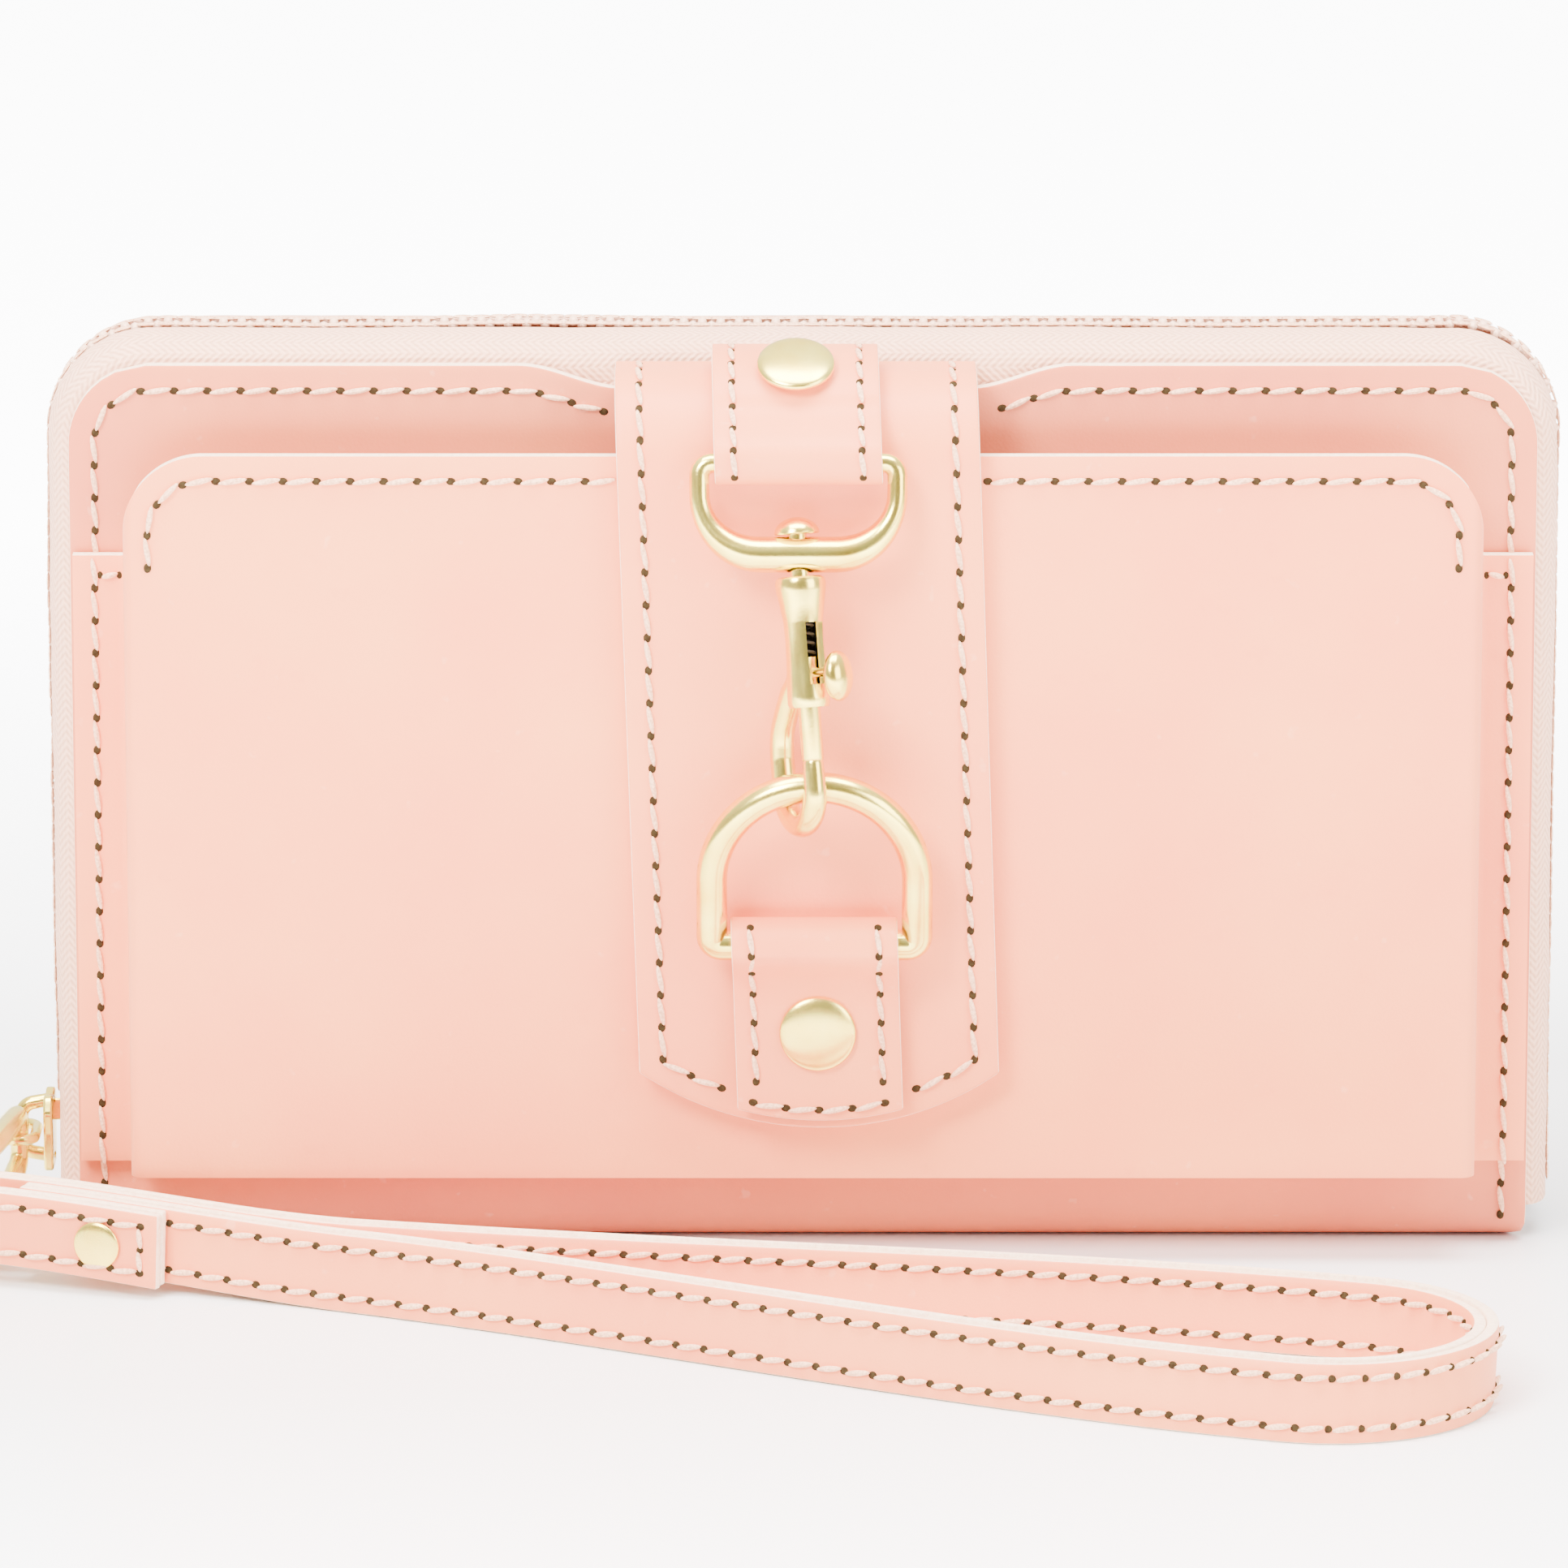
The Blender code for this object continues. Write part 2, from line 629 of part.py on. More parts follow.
def rivetProfile(foot, seat):
    """A domed head on a shank that ends in a thin washer below; heights are above the tab's back."""
    dome = [
        (RIVET_HEAD * sin(t), seat + RIVET_DOME * cos(t)) for t in (pi / 16 * i for i in range(9))
    ]
    return [*dome, (RIVET_SHANK, seat), (RIVET_SHANK, foot), (0, foot)]


def rivets():
    seat = 2 * TAB_PLY + GAP + CHAPE_THICK + 2 * GAP
    for name, place in (("upper_rivet", upperRivetPlace()), ("lower_rivet", lowerRivetPlace())):
        turned(name, rivetProfile(GAP, seat + (0.0008 if name == "upper_rivet" else 0)), place, GOLD)


def ringPlace():
    place = (leanAt(RING_BAR_HEIGHT), barDepth(RING_WIRE), RING_BAR_HEIGHT)
    return Matrix.Translation(place) @ Matrix.Rotation(RING_TILT, 4, "X")


def dRing():
    """A straight bar, two short sides and a half circle, tipped forward by the hook it holds."""
    foot = rounded([
        (RING_HALF, RING_RISE, 0), (RING_HALF, 0, RING_CORNER),
        (-RING_HALF, 0, RING_CORNER), (-RING_HALF, RING_RISE, 0),
    ], 5)[1:-1]
    arc = arcPoints((0, RING_RISE), RING_HALF, pi, 0, 25)
    path = [(x, 0, z) for x, z in foot + arc]
    wire("d_ring", path, RING_WIRE, True, None, ringPlace(), GOLD, 3)


def hookSwing():
    """How far the hook leans forward so that its tip passes in front of the D-ring's wire."""
    rise = RING_RISE + RING_HALF
    wire_depth = barDepth(RING_WIRE) - rise * sin(RING_TILT)
    wire_height = RING_BAR_HEIGHT + rise * cos(RING_TILT)
    forward = barDepth(EYE_WIRE) - wire_depth
    down = EYE_BAR_HEIGHT - wire_height
    clear = RING_WIRE + BOLT_RADIUS + GAP * 1.4
    reach = sqrt(forward ** 2 + down ** 2 - clear ** 2)
    return atan2(forward, down) + atan2(clear, reach), reach


def eyePlace():
    place = (leanAt(EYE_BAR_HEIGHT), barDepth(EYE_WIRE), EYE_BAR_HEIGHT)
    return Matrix.Translation(place) @ Matrix.Rotation(-hookSwing()[0], 4, "X")


def hookPlace():
    """Frame of the hook: its origin is in the eye's bar, its -Z runs down the barrel."""
    swing, reach = hookSwing()
    side = leanAt(RING_BAR_HEIGHT) - leanAt(EYE_BAR_HEIGHT)
    lean = atan2(side, reach - EYE_DROP)
    pivot = Matrix.Translation((0, 0, -EYE_DROP))
    return eyePlace() @ pivot @ Matrix.Rotation(-lean, 4, "Y") @ pivot.inverted()


def swivelEye():
    half = EYE_HALF
    shoulder = half - CHAPE_WIDTH / 2 - GAP
    outline = rounded([
        (half, 0, shoulder), (-half, 0, shoulder), (-half, -EYE_DROP, 0.0075), (half, -EYE_DROP, 0.0075),
    ], 8)
    path = [(x, 0, z) for x, z in outline]
    swell = []
    for x, _, z in path:
        depth = max(0, min(1, (-z / EYE_DROP - 0.35) / 0.65))
        swell.append(1 + (EYE_SWELL - 1) * depth * depth)
    eye = asMesh(wire("swivel_eye", path, EYE_WIRE, True, swell, eyePlace(), GOLD, 3))
    hole = eyePlace() @ Matrix.Translation((0, 0, -EYE_DROP))
    combine(eye, rod("post_hole", POST_RADIUS + PIN_GAP, 0.01, hole), "DIFFERENCE")


def hookBody():
    """A bored barrel with a slot for the knob, and an arm that curls under the D-ring's wire."""
    top = -BARREL_TOP
    foot = top - BARREL_LENGTH
    waist = top - BARREL_LENGTH * 0.35
    middle = (BARREL_RADIUS + BARREL_END) / 2
    profile = [
        (BARREL_RADIUS - 0.0004, top), (BARREL_RADIUS, top - 0.0005), (middle * 0.97, waist),
        (BARREL_END, foot + 0.001), (BARREL_END, foot), (BORE_RADIUS, foot), (BORE_RADIUS, top),
    ]
    body = baked(turned("hook_body", profile, hookPlace(), GOLD, 28))
    reach = hookSwing()[1]
    bend = ARM_OFFSET / 2
    drop = -(reach + RING_WIRE + GAP * 4 + ARM_RADIUS - bend)
    arm = [(0.0019, foot + 0.0035), (ARM_OFFSET * 0.6, foot + 0.0012), (ARM_OFFSET * 0.92, foot - 0.0025)]
    arm += [(ARM_OFFSET, foot - 0.0055), (ARM_OFFSET, (foot + drop) / 2 - 0.002)]
    arm += arcPoints((bend, drop), bend, 0, -pi, 13)
    arm.append((0, -BOLT_REACH - GAP))
    swell = [1.0] * (len(arm) - 4) + [0.97, 0.94, 0.9, 0.86]
    turn = hookPlace() @ Matrix.Rotation(HOOK_TURN + pi / 2, 4, "Z")
    path = [(x, 0, z) for x, z in arm]
    combine(body, wire("hook_arm", path, ARM_RADIUS, False, swell, turn, None, 3), "UNION")
    bore = hookPlace() @ Matrix.Translation((0, 0, (top + foot) / 2))
    combine(body, rod("hook_bore", BORE_RADIUS, BARREL_LENGTH * 1.1, bore), "DIFFERENCE")
    knob = knobHeight()
    slot = block("knob_slot", (0, -0.0009, knob - 0.0014), (0.006, 0.0009, knob + 0.0014 + BOLT_TRAVEL))
    slot.matrix_world = hookPlace() @ Matrix.Rotation(KNOB_TURN, 4, "Z")
    combine(body, slot, "DIFFERENCE")


def knobHeight():
    return -BARREL_TOP - BARREL_LENGTH * 0.74


def snapBolt():
    """The sliding bolt that shuts the hook, with the thumb knob that stands out through the slot."""
    top = -BARREL_TOP - BARREL_LENGTH * 0.62
    foot = -BOLT_REACH
    place = hookPlace() @ Matrix.Translation((0, 0, (top + foot) / 2))
    bolt = rod("snap_bolt", BOLT_RADIUS, top - foot, place, GOLD)
    side = hookPlace() @ Matrix.Rotation(KNOB_TURN, 4, "Z") @ Matrix.Translation((0, 0, knobHeight()))
    stem = rod("knob_stem", 0.0006, 0.0042, side @ Matrix.Translation((0.0021, 0, 0)) @ SIDEWAYS, None, 12)
    combine(bolt, stem, "UNION")
    work = bmesh.new()
    bmesh.ops.create_uvsphere(work, u_segments=16, v_segments=10, radius=0.001)
    bmesh.ops.scale(work, verts=work.verts, vec=(1.1, 1.9, 2.9))
    mesh = bpy.data.meshes.new("knob")
    work.to_mesh(mesh)
    work.free()
    combine(bolt, add("knob", mesh, side @ Matrix.Translation((0.0048, 0, -0.0006))), "UNION")


def postFoot():
    return -BARREL_TOP - 0.0022


def swivelPost():
    """The headed pin that hangs the hook in the eye and can turn there."""
    rim = -EYE_DROP + EYE_WIRE * EYE_SWELL + GAP
    head = [(0.0028 * sin(t), rim + 0.0021 * cos(t)) for t in (pi / 14 * i for i in range(8))]
    profile = [*head, (POST_RADIUS, rim), (POST_RADIUS, postFoot()), (0, postFoot())]
    turned("swivel_post", profile, hookPlace(), GOLD, 20)


def boltSpring():
    start = postFoot() - GAP - SPRING_WIRE
    end = -BARREL_TOP - BARREL_LENGTH * 0.62 + GAP + SPRING_WIRE
    steps = SPRING_TURNS * 10
    radius = BORE_RADIUS - SPRING_WIRE - GAP
    path = []
    for i in range(steps + 1):
        angle = 2 * pi * SPRING_TURNS * i / steps
        path.append((radius * cos(angle), radius * sin(angle), start + (end - start) * i / steps))
    wire("bolt_spring", path, SPRING_WIRE, False, None, hookPlace(), STEEL, 1)


def zipSlider():
    """Two plates joined by a bridge that runs between the coils, and an arch for the pull's link."""
    inner = ZIP_X + COIL_THICK / 2 + GAP
    outer = ZIP_X - COIL_THICK / 2 - GAP
    plate_thick = 0.0012
    half = SLIDER_WIDTH / 2
    shape = rounded([
        (-half, SLIDER_FOOT, 0.0012), (half, SLIDER_FOOT, 0.0012),
        (half, SLIDER_FOOT + SLIDER_LENGTH, 0.003), (-half, SLIDER_FOOT + SLIDER_LENGTH, 0.003),
    ])
    slider = asMesh(plate("zip_slider", [shape], SIDEWAYS, outer - plate_thick, outer, GOLD))
    combine(slider, plate("inner_plate", [shape], SIDEWAYS, inner, inner + plate_thick), "UNION")
    bridge = COIL_GAP / 2 - GAP
    top = SLIDER_FOOT + SLIDER_LENGTH
    block_low = (outer - plate_thick / 2, -bridge, top - 0.004)
    combine(slider, block("slider_bridge", block_low, (inner + plate_thick / 2, bridge, top - 0.001)), "UNION")
    foot = outer - plate_thick / 2
    arch = rounded([
        (foot, SLIDER_MIDDLE - 0.0036, 0), (CROWN_X, SLIDER_MIDDLE - 0.003, 0.0016),
        (CROWN_X, SLIDER_MIDDLE + 0.003, 0.0016), (foot, SLIDER_MIDDLE + 0.0036, 0),
    ])
    path = [(x, 0, z) for x, z in arch]
    combine(slider, wire("slider_crown", path, CROWN_WIRE, False, None, FLAT, None, 2), "UNION")


def linkReach():
    """From the crown's wire to the pull ring's narrow bar."""
    return CROWN_WIRE + PULL_WIRE + 0.0026


def pullLink():
    wide = CROWN_WIRE + PIN_GAP + LINK_WIRE
    start = -wide
    end = linkReach() + PULL_WIRE + PIN_GAP + LINK_WIRE
    round_start = arcPoints((0, -(start + wide)), wide, 0, pi, 11)
    round_end = arcPoints((0, -(end - wide)), wide, pi, 2 * pi, 11)
    path = [(x, y, 0) for x, y in round_start + round_end]
    wire("pull_link", path, LINK_WIRE, True, None, Matrix.Translation((CROWN_X, 0, SLIDER_MIDDLE)), GOLD)


def pullPlace():
    turn = Matrix.Rotation(-pi / 2 - PULL_SWING, 4, "Z")
    return Matrix.Translation((CROWN_X, -linkReach(), 0)) @ turn


def pullRing():
    """A trapezoid of wire: its short bar sits in the link, its long bar in the strap's fold."""
    narrow_low = SLIDER_MIDDLE - PULL_NARROW / 2
    narrow_high = SLIDER_MIDDLE + PULL_NARROW / 2
    level = strapFold() + STRAP_THICK / 2 + PULL_WIRE    # both limbs run level past the strap's fold
    outline = rounded([
        (0, narrow_low, 0.0015), (PULL_LENGTH - level, PULL_FOOT, 0.003), (PULL_LENGTH, PULL_FOOT, 0.0008),
        (PULL_LENGTH, PULL_FOOT + PULL_WIDE, 0.0008), (0, narrow_high, 0.0015),
    ], 4)
    wire("pull_ring", [(x, 0, z) for x, z in outline], PULL_WIRE, True, None, pullPlace(), GOLD, 3)


def strapPlace():
    bar = pullPlace() @ Vector((PULL_LENGTH, 0, 0))
    return Matrix.Translation(bar) @ Matrix.Rotation(-STRAP_SLOPE, 4, "Z")


def eased(value):
    value = max(0.0, min(1.0, value))
    return value * value * (3 - 2 * value)


def strapFold():
    return PULL_WIRE + STRAP_PLY_GAP * 2 + STRAP_THICK / 2


def strapRoute():
    """Centre line in plan: cut end, fold round the pull's bar, far run, loop, near run between the two."""
    fold = max(strapFold(), STRAP_THICK + STRAP_PLY_GAP)
    centre = STRAP_REACH - STRAP_LOOP
    split = STRAP_JOINED + 0.004
    route = [(STRAP_JOINED * (1 - i / 4), -fold) for i in range(4)]
    route += arcPoints((0, 0), fold, -pi / 2, -3 * pi / 2, 13)
    steps = 22
    for i in range(1, steps):
        along = centre * i / steps
        spread = eased((along - split) / (centre - split))
        route.append((along, fold + (STRAP_LOOP - fold) * spread))
    route += arcPoints((centre, 0), STRAP_LOOP, pi / 2, -pi / 2, 19)
    start = fold + STRAP_THICK
    for i in range(1, steps + 1):
        along = centre + (start - centre) * i / steps
        spread = eased((along - split) / (centre - split))
        route.append((along, -STRAP_LOOP * spread))
    return route


def strapLift(along):
    """The strap's edge is held up by the pull ring and settles on the floor further on."""
    high = PULL_FOOT + PULL_WIRE + STRAP_PLY_GAP
    return high * (1 - eased(along / 0.05))


def wristStrap():
    route = [Vector(point) for point in strapRoute()]
    left = []
    right = []
    for i, point in enumerate(route):
        along = (route[min(i + 1, len(route) - 1)] - route[max(i - 1, 0)]).normalized()
        across = Vector((-along.y, along.x)) * STRAP_THICK / 2
        left.append(tuple(point + across))
        right.append(tuple(point - across))
    strap = asMesh(plate("wrist_strap", [left + right[::-1]], FLAT, 0, STRAP_HEIGHT, LEATHER))
    for vertex in strap.data.vertices:
        x, y = vertex.co.xy
        height = vertex.co.z + STRAP_HEIGHT / 2
        vertex.co.z = height + strapLift(x)
        vertex.co.y = y + eased(x / 0.06) * height * tan(STRAP_TILT)
    strap.matrix_world = strapPlace()
    place = strapRivetPlace()
    combine(strap, rod("strap_hole", RIVET_SHANK * 0.8 + PIN_GAP, 0.024, place, None, 16), "DIFFERENCE")


def strapRivetPlace():
    height = STRAP_HEIGHT / 2
    tilt = atan2(eased(STRAP_RIVET_AT / 0.06) * tan(STRAP_TILT), 1)
    place = Matrix.Translation((STRAP_RIVET_AT, height * tan(tilt), height + strapLift(STRAP_RIVET_AT)))
    return strapPlace() @ place @ Matrix.Rotation(pi / 2 + tilt, 4, "X")


def strapRivet():
    """A capped rivet through all three layers where the strap is folded round the pull."""
    seat = max(strapFold(), STRAP_THICK + STRAP_PLY_GAP) + STRAP_THICK / 2 + GAP
    shank = RIVET_SHANK * 0.8
    cap = [(STRAP_RIVET * sin(t), seat + 0.0007 * cos(t)) for t in (pi / 14 * i for i in range(8))]
    back = [(shank, seat), (shank, -seat), (STRAP_RIVET * 0.85, -seat), (0, -seat - 0.0005)]
    turned("strap_rivet", cap + back, strapRivetPlace(), GOLD, 24)


for old in list(bpy.data.objects):
    bpy.data.objects.remove(old)
PARTS, CUTTERS = collections()
covers()
linings()
cardPockets()
zipHalves()
phonePocket()
closureTab()
chapes()
rivets()
dRing()
swivelEye()
hookBody()
snapBolt()
swivelPost()
boltSpring()
zipSlider()
pullLink()
pullRing()
wristStrap()
strapRivet()
for piece in PARTS.objects:
    if piece.type == "MESH":
        piece.data.shade_smooth()
        piece.data.set_sharp_from_angle(angle=radians(35))
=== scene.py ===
import json
from math import acos, atan2, cos, pi, radians, sin, sqrt, tan

import bmesh
import bpy
from mathutils import Matrix, Vector, noise


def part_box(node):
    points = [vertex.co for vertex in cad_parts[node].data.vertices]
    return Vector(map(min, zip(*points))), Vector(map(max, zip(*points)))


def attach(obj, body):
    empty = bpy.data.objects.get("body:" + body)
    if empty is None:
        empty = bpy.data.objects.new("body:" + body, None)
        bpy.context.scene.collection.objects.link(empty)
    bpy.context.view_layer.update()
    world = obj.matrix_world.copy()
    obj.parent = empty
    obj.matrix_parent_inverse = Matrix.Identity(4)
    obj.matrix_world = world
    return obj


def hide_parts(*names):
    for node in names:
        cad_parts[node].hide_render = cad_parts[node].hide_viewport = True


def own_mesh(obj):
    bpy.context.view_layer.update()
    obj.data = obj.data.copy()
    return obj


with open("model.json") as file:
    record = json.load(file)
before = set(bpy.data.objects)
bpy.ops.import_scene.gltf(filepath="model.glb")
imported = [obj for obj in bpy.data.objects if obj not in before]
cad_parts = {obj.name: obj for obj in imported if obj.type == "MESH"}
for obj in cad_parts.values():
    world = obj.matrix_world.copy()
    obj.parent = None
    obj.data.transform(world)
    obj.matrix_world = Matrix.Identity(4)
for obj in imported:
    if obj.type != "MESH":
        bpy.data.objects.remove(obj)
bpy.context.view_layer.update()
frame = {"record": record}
mm = 0.001


# shader nodes written as expressions

class Socket:
    def __init__(self, tree, link):
        self.tree = tree
        self.link = link

    def maths(self, operation, other=None, flip=False):
        node = self.tree.nodes.new("ShaderNodeMath")
        node.operation = operation
        pair = [self, other] if not flip else [other, self]
        for place, value in zip(node.inputs, pair):
            if isinstance(value, Socket):
                self.tree.links.new(value.link, place)
            elif value is not None:
                place.default_value = value
        return Socket(self.tree, node.outputs[0])

    def __add__(self, other):
        return self.maths("ADD", other)

    def __radd__(self, other):
        return self.maths("ADD", other, True)

    def __sub__(self, other):
        return self.maths("SUBTRACT", other)

    def __mul__(self, other):
        return self.maths("MULTIPLY", other)

    def __rmul__(self, other):
        return self.maths("MULTIPLY", other, True)


class Finish:
    def __init__(self, name, roughness=0.5, metallic=0.0, coat=0.0, sheen=0.0, bumpDepth=0.00005):
        self.material = bpy.data.materials.new(name)
        self.material.use_nodes = True
        self.tree = self.material.node_tree
        self.shader = self.tree.nodes["Principled BSDF"]
        self.shader.inputs["Roughness"].default_value = roughness
        self.shader.inputs["Metallic"].default_value = metallic
        self.shader.inputs["Coat Weight"].default_value = coat
        self.shader.inputs["Sheen Weight"].default_value = sheen
        self.bumpDepth = bumpDepth
        self.place = self.node("TexCoord", out="Object")

    def node(self, kind, settings=None, inputs=None, out=0):
        made = self.tree.nodes.new("ShaderNode" + kind)
        for key, value in (settings or {}).items():
            setattr(made, key, value)
        for key, value in (inputs or {}).items():
            if isinstance(value, Socket):
                self.tree.links.new(value.link, made.inputs[key])
            else:
                made.inputs[key].default_value = value
        return Socket(self.tree, made.outputs[out])

    def noise(self, scale, detail=3.0, roughness=0.5):
        values = {"Vector": self.place, "Scale": scale, "Detail": detail, "Roughness": roughness}
        return self.node("TexNoise", None, values, "Fac")

    def cells(self, scale):
        return self.node("TexVoronoi", None, {"Vector": self.place, "Scale": scale}, "Distance")

    def axes(self, source=None):  # the three parts of a vector
        parts = self.tree.nodes.new("ShaderNodeSeparateXYZ")
        self.tree.links.new((source or self.place).link, parts.inputs[0])
        return [Socket(self.tree, part) for part in parts.outputs]

    def ramp(self, factor, low, high):
        values = {"Value": factor, "From Min": low, "From Max": high}
        return self.node("MapRange", {"clamp": True}, values, "Result")

    def blend(self, factor, first, second):
        made = self.tree.nodes.new("ShaderNodeMix")
        made.data_type = "RGBA"
        for key, value in (("Factor", factor), ("A", first), ("B", second)):
            kind = "VALUE" if key == "Factor" else "RGBA"
            place = next(one for one in made.inputs if one.name == key and one.type == kind)
            if isinstance(value, Socket):
                self.tree.links.new(value.link, place)
            else:
                place.default_value = value if key == "Factor" else (*value[:3], 1)
        return Socket(self.tree, next(one for one in made.outputs if one.type == "RGBA"))

    def wear(self, colour, roughness, height=None, strength=0.5):
        self.tree.links.new(colour.link, self.shader.inputs["Base Color"])
        self.tree.links.new(roughness.link, self.shader.inputs["Roughness"])
        if height:
            bump = self.tree.nodes.new("ShaderNodeBump")
            bump.inputs["Strength"].default_value = strength
            bump.inputs["Distance"].default_value = self.bumpDepth
            self.tree.links.new(height.link, bump.inputs["Height"])
            self.tree.links.new(bump.outputs["Normal"], self.shader.inputs["Normal"])
        return self.material


palette = {
    "blush": (0.880, 0.225, 0.098), "blushDeep": (0.720, 0.150, 0.070), "blushPale": (0.920, 0.285, 0.112),
    # the two cover colours are the blush leather painted darker: painted shade over both covers, for the shade
    # that falls around the pocket
    "cover": (0.660, 0.150, 0.072), "coverPaleShaded": (0.720, 0.195, 0.082),
    "rawEdge": (0.950, 0.720, 0.520), "rawEdgeDeep": (0.800, 0.500, 0.330),
    # the near-black needle-hole colour is painted shade: each hole's hollow is drawn as a dark bead
    "thread": (0.950, 0.570, 0.350), "threadDeep": (0.640, 0.300, 0.170), "hole": (0.020, 0.006, 0.004),
    "tape": (0.950, 0.530, 0.350), "tapeDeep": (0.700, 0.300, 0.180), "coil": (0.950, 0.640, 0.440),
    "lining": (0.700, 0.330, 0.220), "liningDeep": (0.520, 0.200, 0.130),
    # the near-black bore colour is painted shade, for the inside of the hook's barrel and, mixed in, for the
    # needle holes
    "gold": (0.980, 0.790, 0.170), "goldDeep": (0.880, 0.620, 0.090), "bore": (0.060, 0.045, 0.020),
    "steel": (0.560, 0.550, 0.530),
}


def leatherFinish(name, pale, deep):
    made = Finish(name, roughness=0.46, coat=0.03, bumpDepth=0.00012)
    made.shader.inputs["Specular IOR Level"].default_value = 0.3
    clouds = made.noise(28, 4, 0.55)
    pores = made.cells(2600)
    grain = made.noise(1500, 3, 0.6)
    creases = made.noise(190, 5, 0.62)
    marks = made.ramp(made.noise(420, 2, 0.5), 0.70, 0.78)
    tone = made.ramp(clouds, 0.32, 0.68)
    colour = made.blend(tone, deep, pale)
    colour = made.blend(made.ramp(creases, 0.62, 0.80) * 0.22, colour, palette["blushDeep"])
    colour = made.blend(marks * 0.12, colour, palette["rawEdge"])
    rough = 0.40 + clouds * 0.10 + grain * 0.10
    height = pores * 0.35 + grain * 0.4 + creases * 0.5
    return made.wear(colour, rough, height, 0.32)


def edgeFinish():
    made = Finish("rawEdge", roughness=0.85, bumpDepth=0.00015)
    fibres = made.noise(1400, 4, 0.7)
    patches = made.noise(160, 3, 0.6)
    colour = made.blend(made.ramp(fibres, 0.40, 0.72), palette["rawEdge"], palette["rawEdgeDeep"])
    colour = made.blend(made.ramp(patches, 0.45, 0.7) * 0.45, colour, palette["rawEdge"])
    return made.wear(colour, 0.78 + fibres * 0.15, fibres, 0.6)


def threadFinish():
    made = Finish("thread", roughness=0.7, sheen=0.05, bumpDepth=0.00010)
    strands = made.noise(3200, 2, 0.5)
    colour = made.blend(made.ramp(strands, 0.35, 0.7), palette["thread"], palette["threadDeep"])
    return made.wear(colour, 0.62 + strands * 0.2, strands, 0.7)


# needle holes: dark beads with no specular, set on the surface as painted shade for the hollow of each hole
def holeFinish():
    made = Finish("needleHoleShade", roughness=0.9)
    made.shader.inputs["Specular IOR Level"].default_value = 0.0
    shadeMottle = made.noise(2200, 2, 0.5)
    colour = made.blend(shadeMottle, palette["hole"], palette["bore"])
    return made.wear(colour, 0.85 + shadeMottle * 0.1, shadeMottle, 0.3)


def tapeFinish():
    made = Finish("zipTape", roughness=0.82, sheen=0.05, bumpDepth=0.00022)
    along, across, _ = made.axes(made.node("UVMap", {"uv_map": "weave"}, None, "UV"))
    zigzag = across.maths("PINGPONG", 1.8)
    slant = (along + zigzag).maths("PINGPONG", 0.5) * 2.0
    ribs = across.maths("PINGPONG", 0.35) * 2.8
    threads = slant * 0.7 + ribs * 0.3
    fuzz = made.noise(2400, 3, 0.6)
    colour = made.blend(made.ramp(threads, 0.15, 0.75), palette["tapeDeep"], palette["tape"])
    colour = made.blend(fuzz * 0.25, colour, palette["rawEdge"])
    return made.wear(colour, 0.72 + fuzz * 0.2, threads + fuzz * 0.3, 0.8)


def coilFinish():
    made = Finish("zipCoil", roughness=0.35, coat=0.2)
    tint = made.noise(900, 2, 0.5)
    colour = made.blend(tint, palette["tape"], palette["coil"])
    return made.wear(colour, 0.28 + tint * 0.2, tint, 0.2)


def goldFinish(name, roughness):
    made = Finish(name, roughness=roughness, metallic=1.0, bumpDepth=0.00003)
    wash = made.noise(220, 3, 0.5)
    scratch = made.noise(2600, 4, 0.7)
    colour = made.blend(made.ramp(wash, 0.35, 0.7), palette["gold"], palette["goldDeep"])
    rough = roughness * 0.8 + scratch * 0.10
    return made.wear(colour, rough, scratch + wash * 2.0, 0.25)


def liningFinish():
    made = Finish("liningCloth", roughness=0.85, sheen=0.05, bumpDepth=0.0001)
    across, _, upward = made.axes()
    twill = ((across + upward) * 1400.0).maths("PINGPONG", 0.5) * 2.0
    warp = ((across - upward) * 2800.0).maths("PINGPONG", 0.5) * 2.0
    cloth = twill * 0.65 + warp * 0.35
    fuzz = made.noise(1800, 3, 0.6)
    colour = made.blend(made.ramp(cloth, 0.2, 0.8), palette["liningDeep"], palette["lining"])
    return made.wear(colour, 0.75 + fuzz * 0.2, cloth + fuzz * 0.4, 0.6)


def steelFinish():
    made = Finish("plainSteel", roughness=0.35, metallic=1.0, bumpDepth=0.00003)
    brushed = made.noise(1600, 3, 0.6)
    colour = made.blend(brushed, palette["steel"], palette["coil"])
    return made.wear(made.blend(0.7, colour, palette["steel"]), 0.28 + brushed * 0.2, brushed, 0.3)


# near-black, dull metal for the barrel's inner bore and the spring inside it: painted shade for the dark inside
# the barrel, with a mottle
def boreShadeFinish():
    made = Finish("paintedBoreShade", roughness=0.6, metallic=0.6, bumpDepth=0.00003)
    boreShadeMottle = made.noise(900, 3, 0.6)
    return made.wear(made.blend(boreShadeMottle, palette["bore"], palette["hole"]), 0.5 + boreShadeMottle * 0.3, boreShadeMottle, 0.3)


finishes = {
    "leather": leatherFinish("blushLeather", palette["blushPale"], palette["blush"]),
    # the covers get a darker copy of the same leather: painted shade
    "shadedCoverLeather": leatherFinish("shadedCoverLeather", palette["coverPaleShaded"], palette["cover"]),
    # the needle-hole finish is painted shade
    "edge": edgeFinish(), "thread": threadFinish(), "hole": holeFinish(), "tape": tapeFinish(),
    "coil": coilFinish(), "gold": goldFinish("paleGold", 0.20), "rivetGold": goldFinish("rivetGold", 0.26),
    # the bore finish is painted shade
    "lining": liningFinish(), "steel": steelFinish(), "bore": boreShadeFinish(),
}
print("finishes ready")


# shaping helpers

joints = {one["name"]: one for one in frame["record"]["behaviour"]["joints"]}


def eased(value):
    value = max(0.0, min(1.0, value))
    return value * value * (3 - 2 * value)


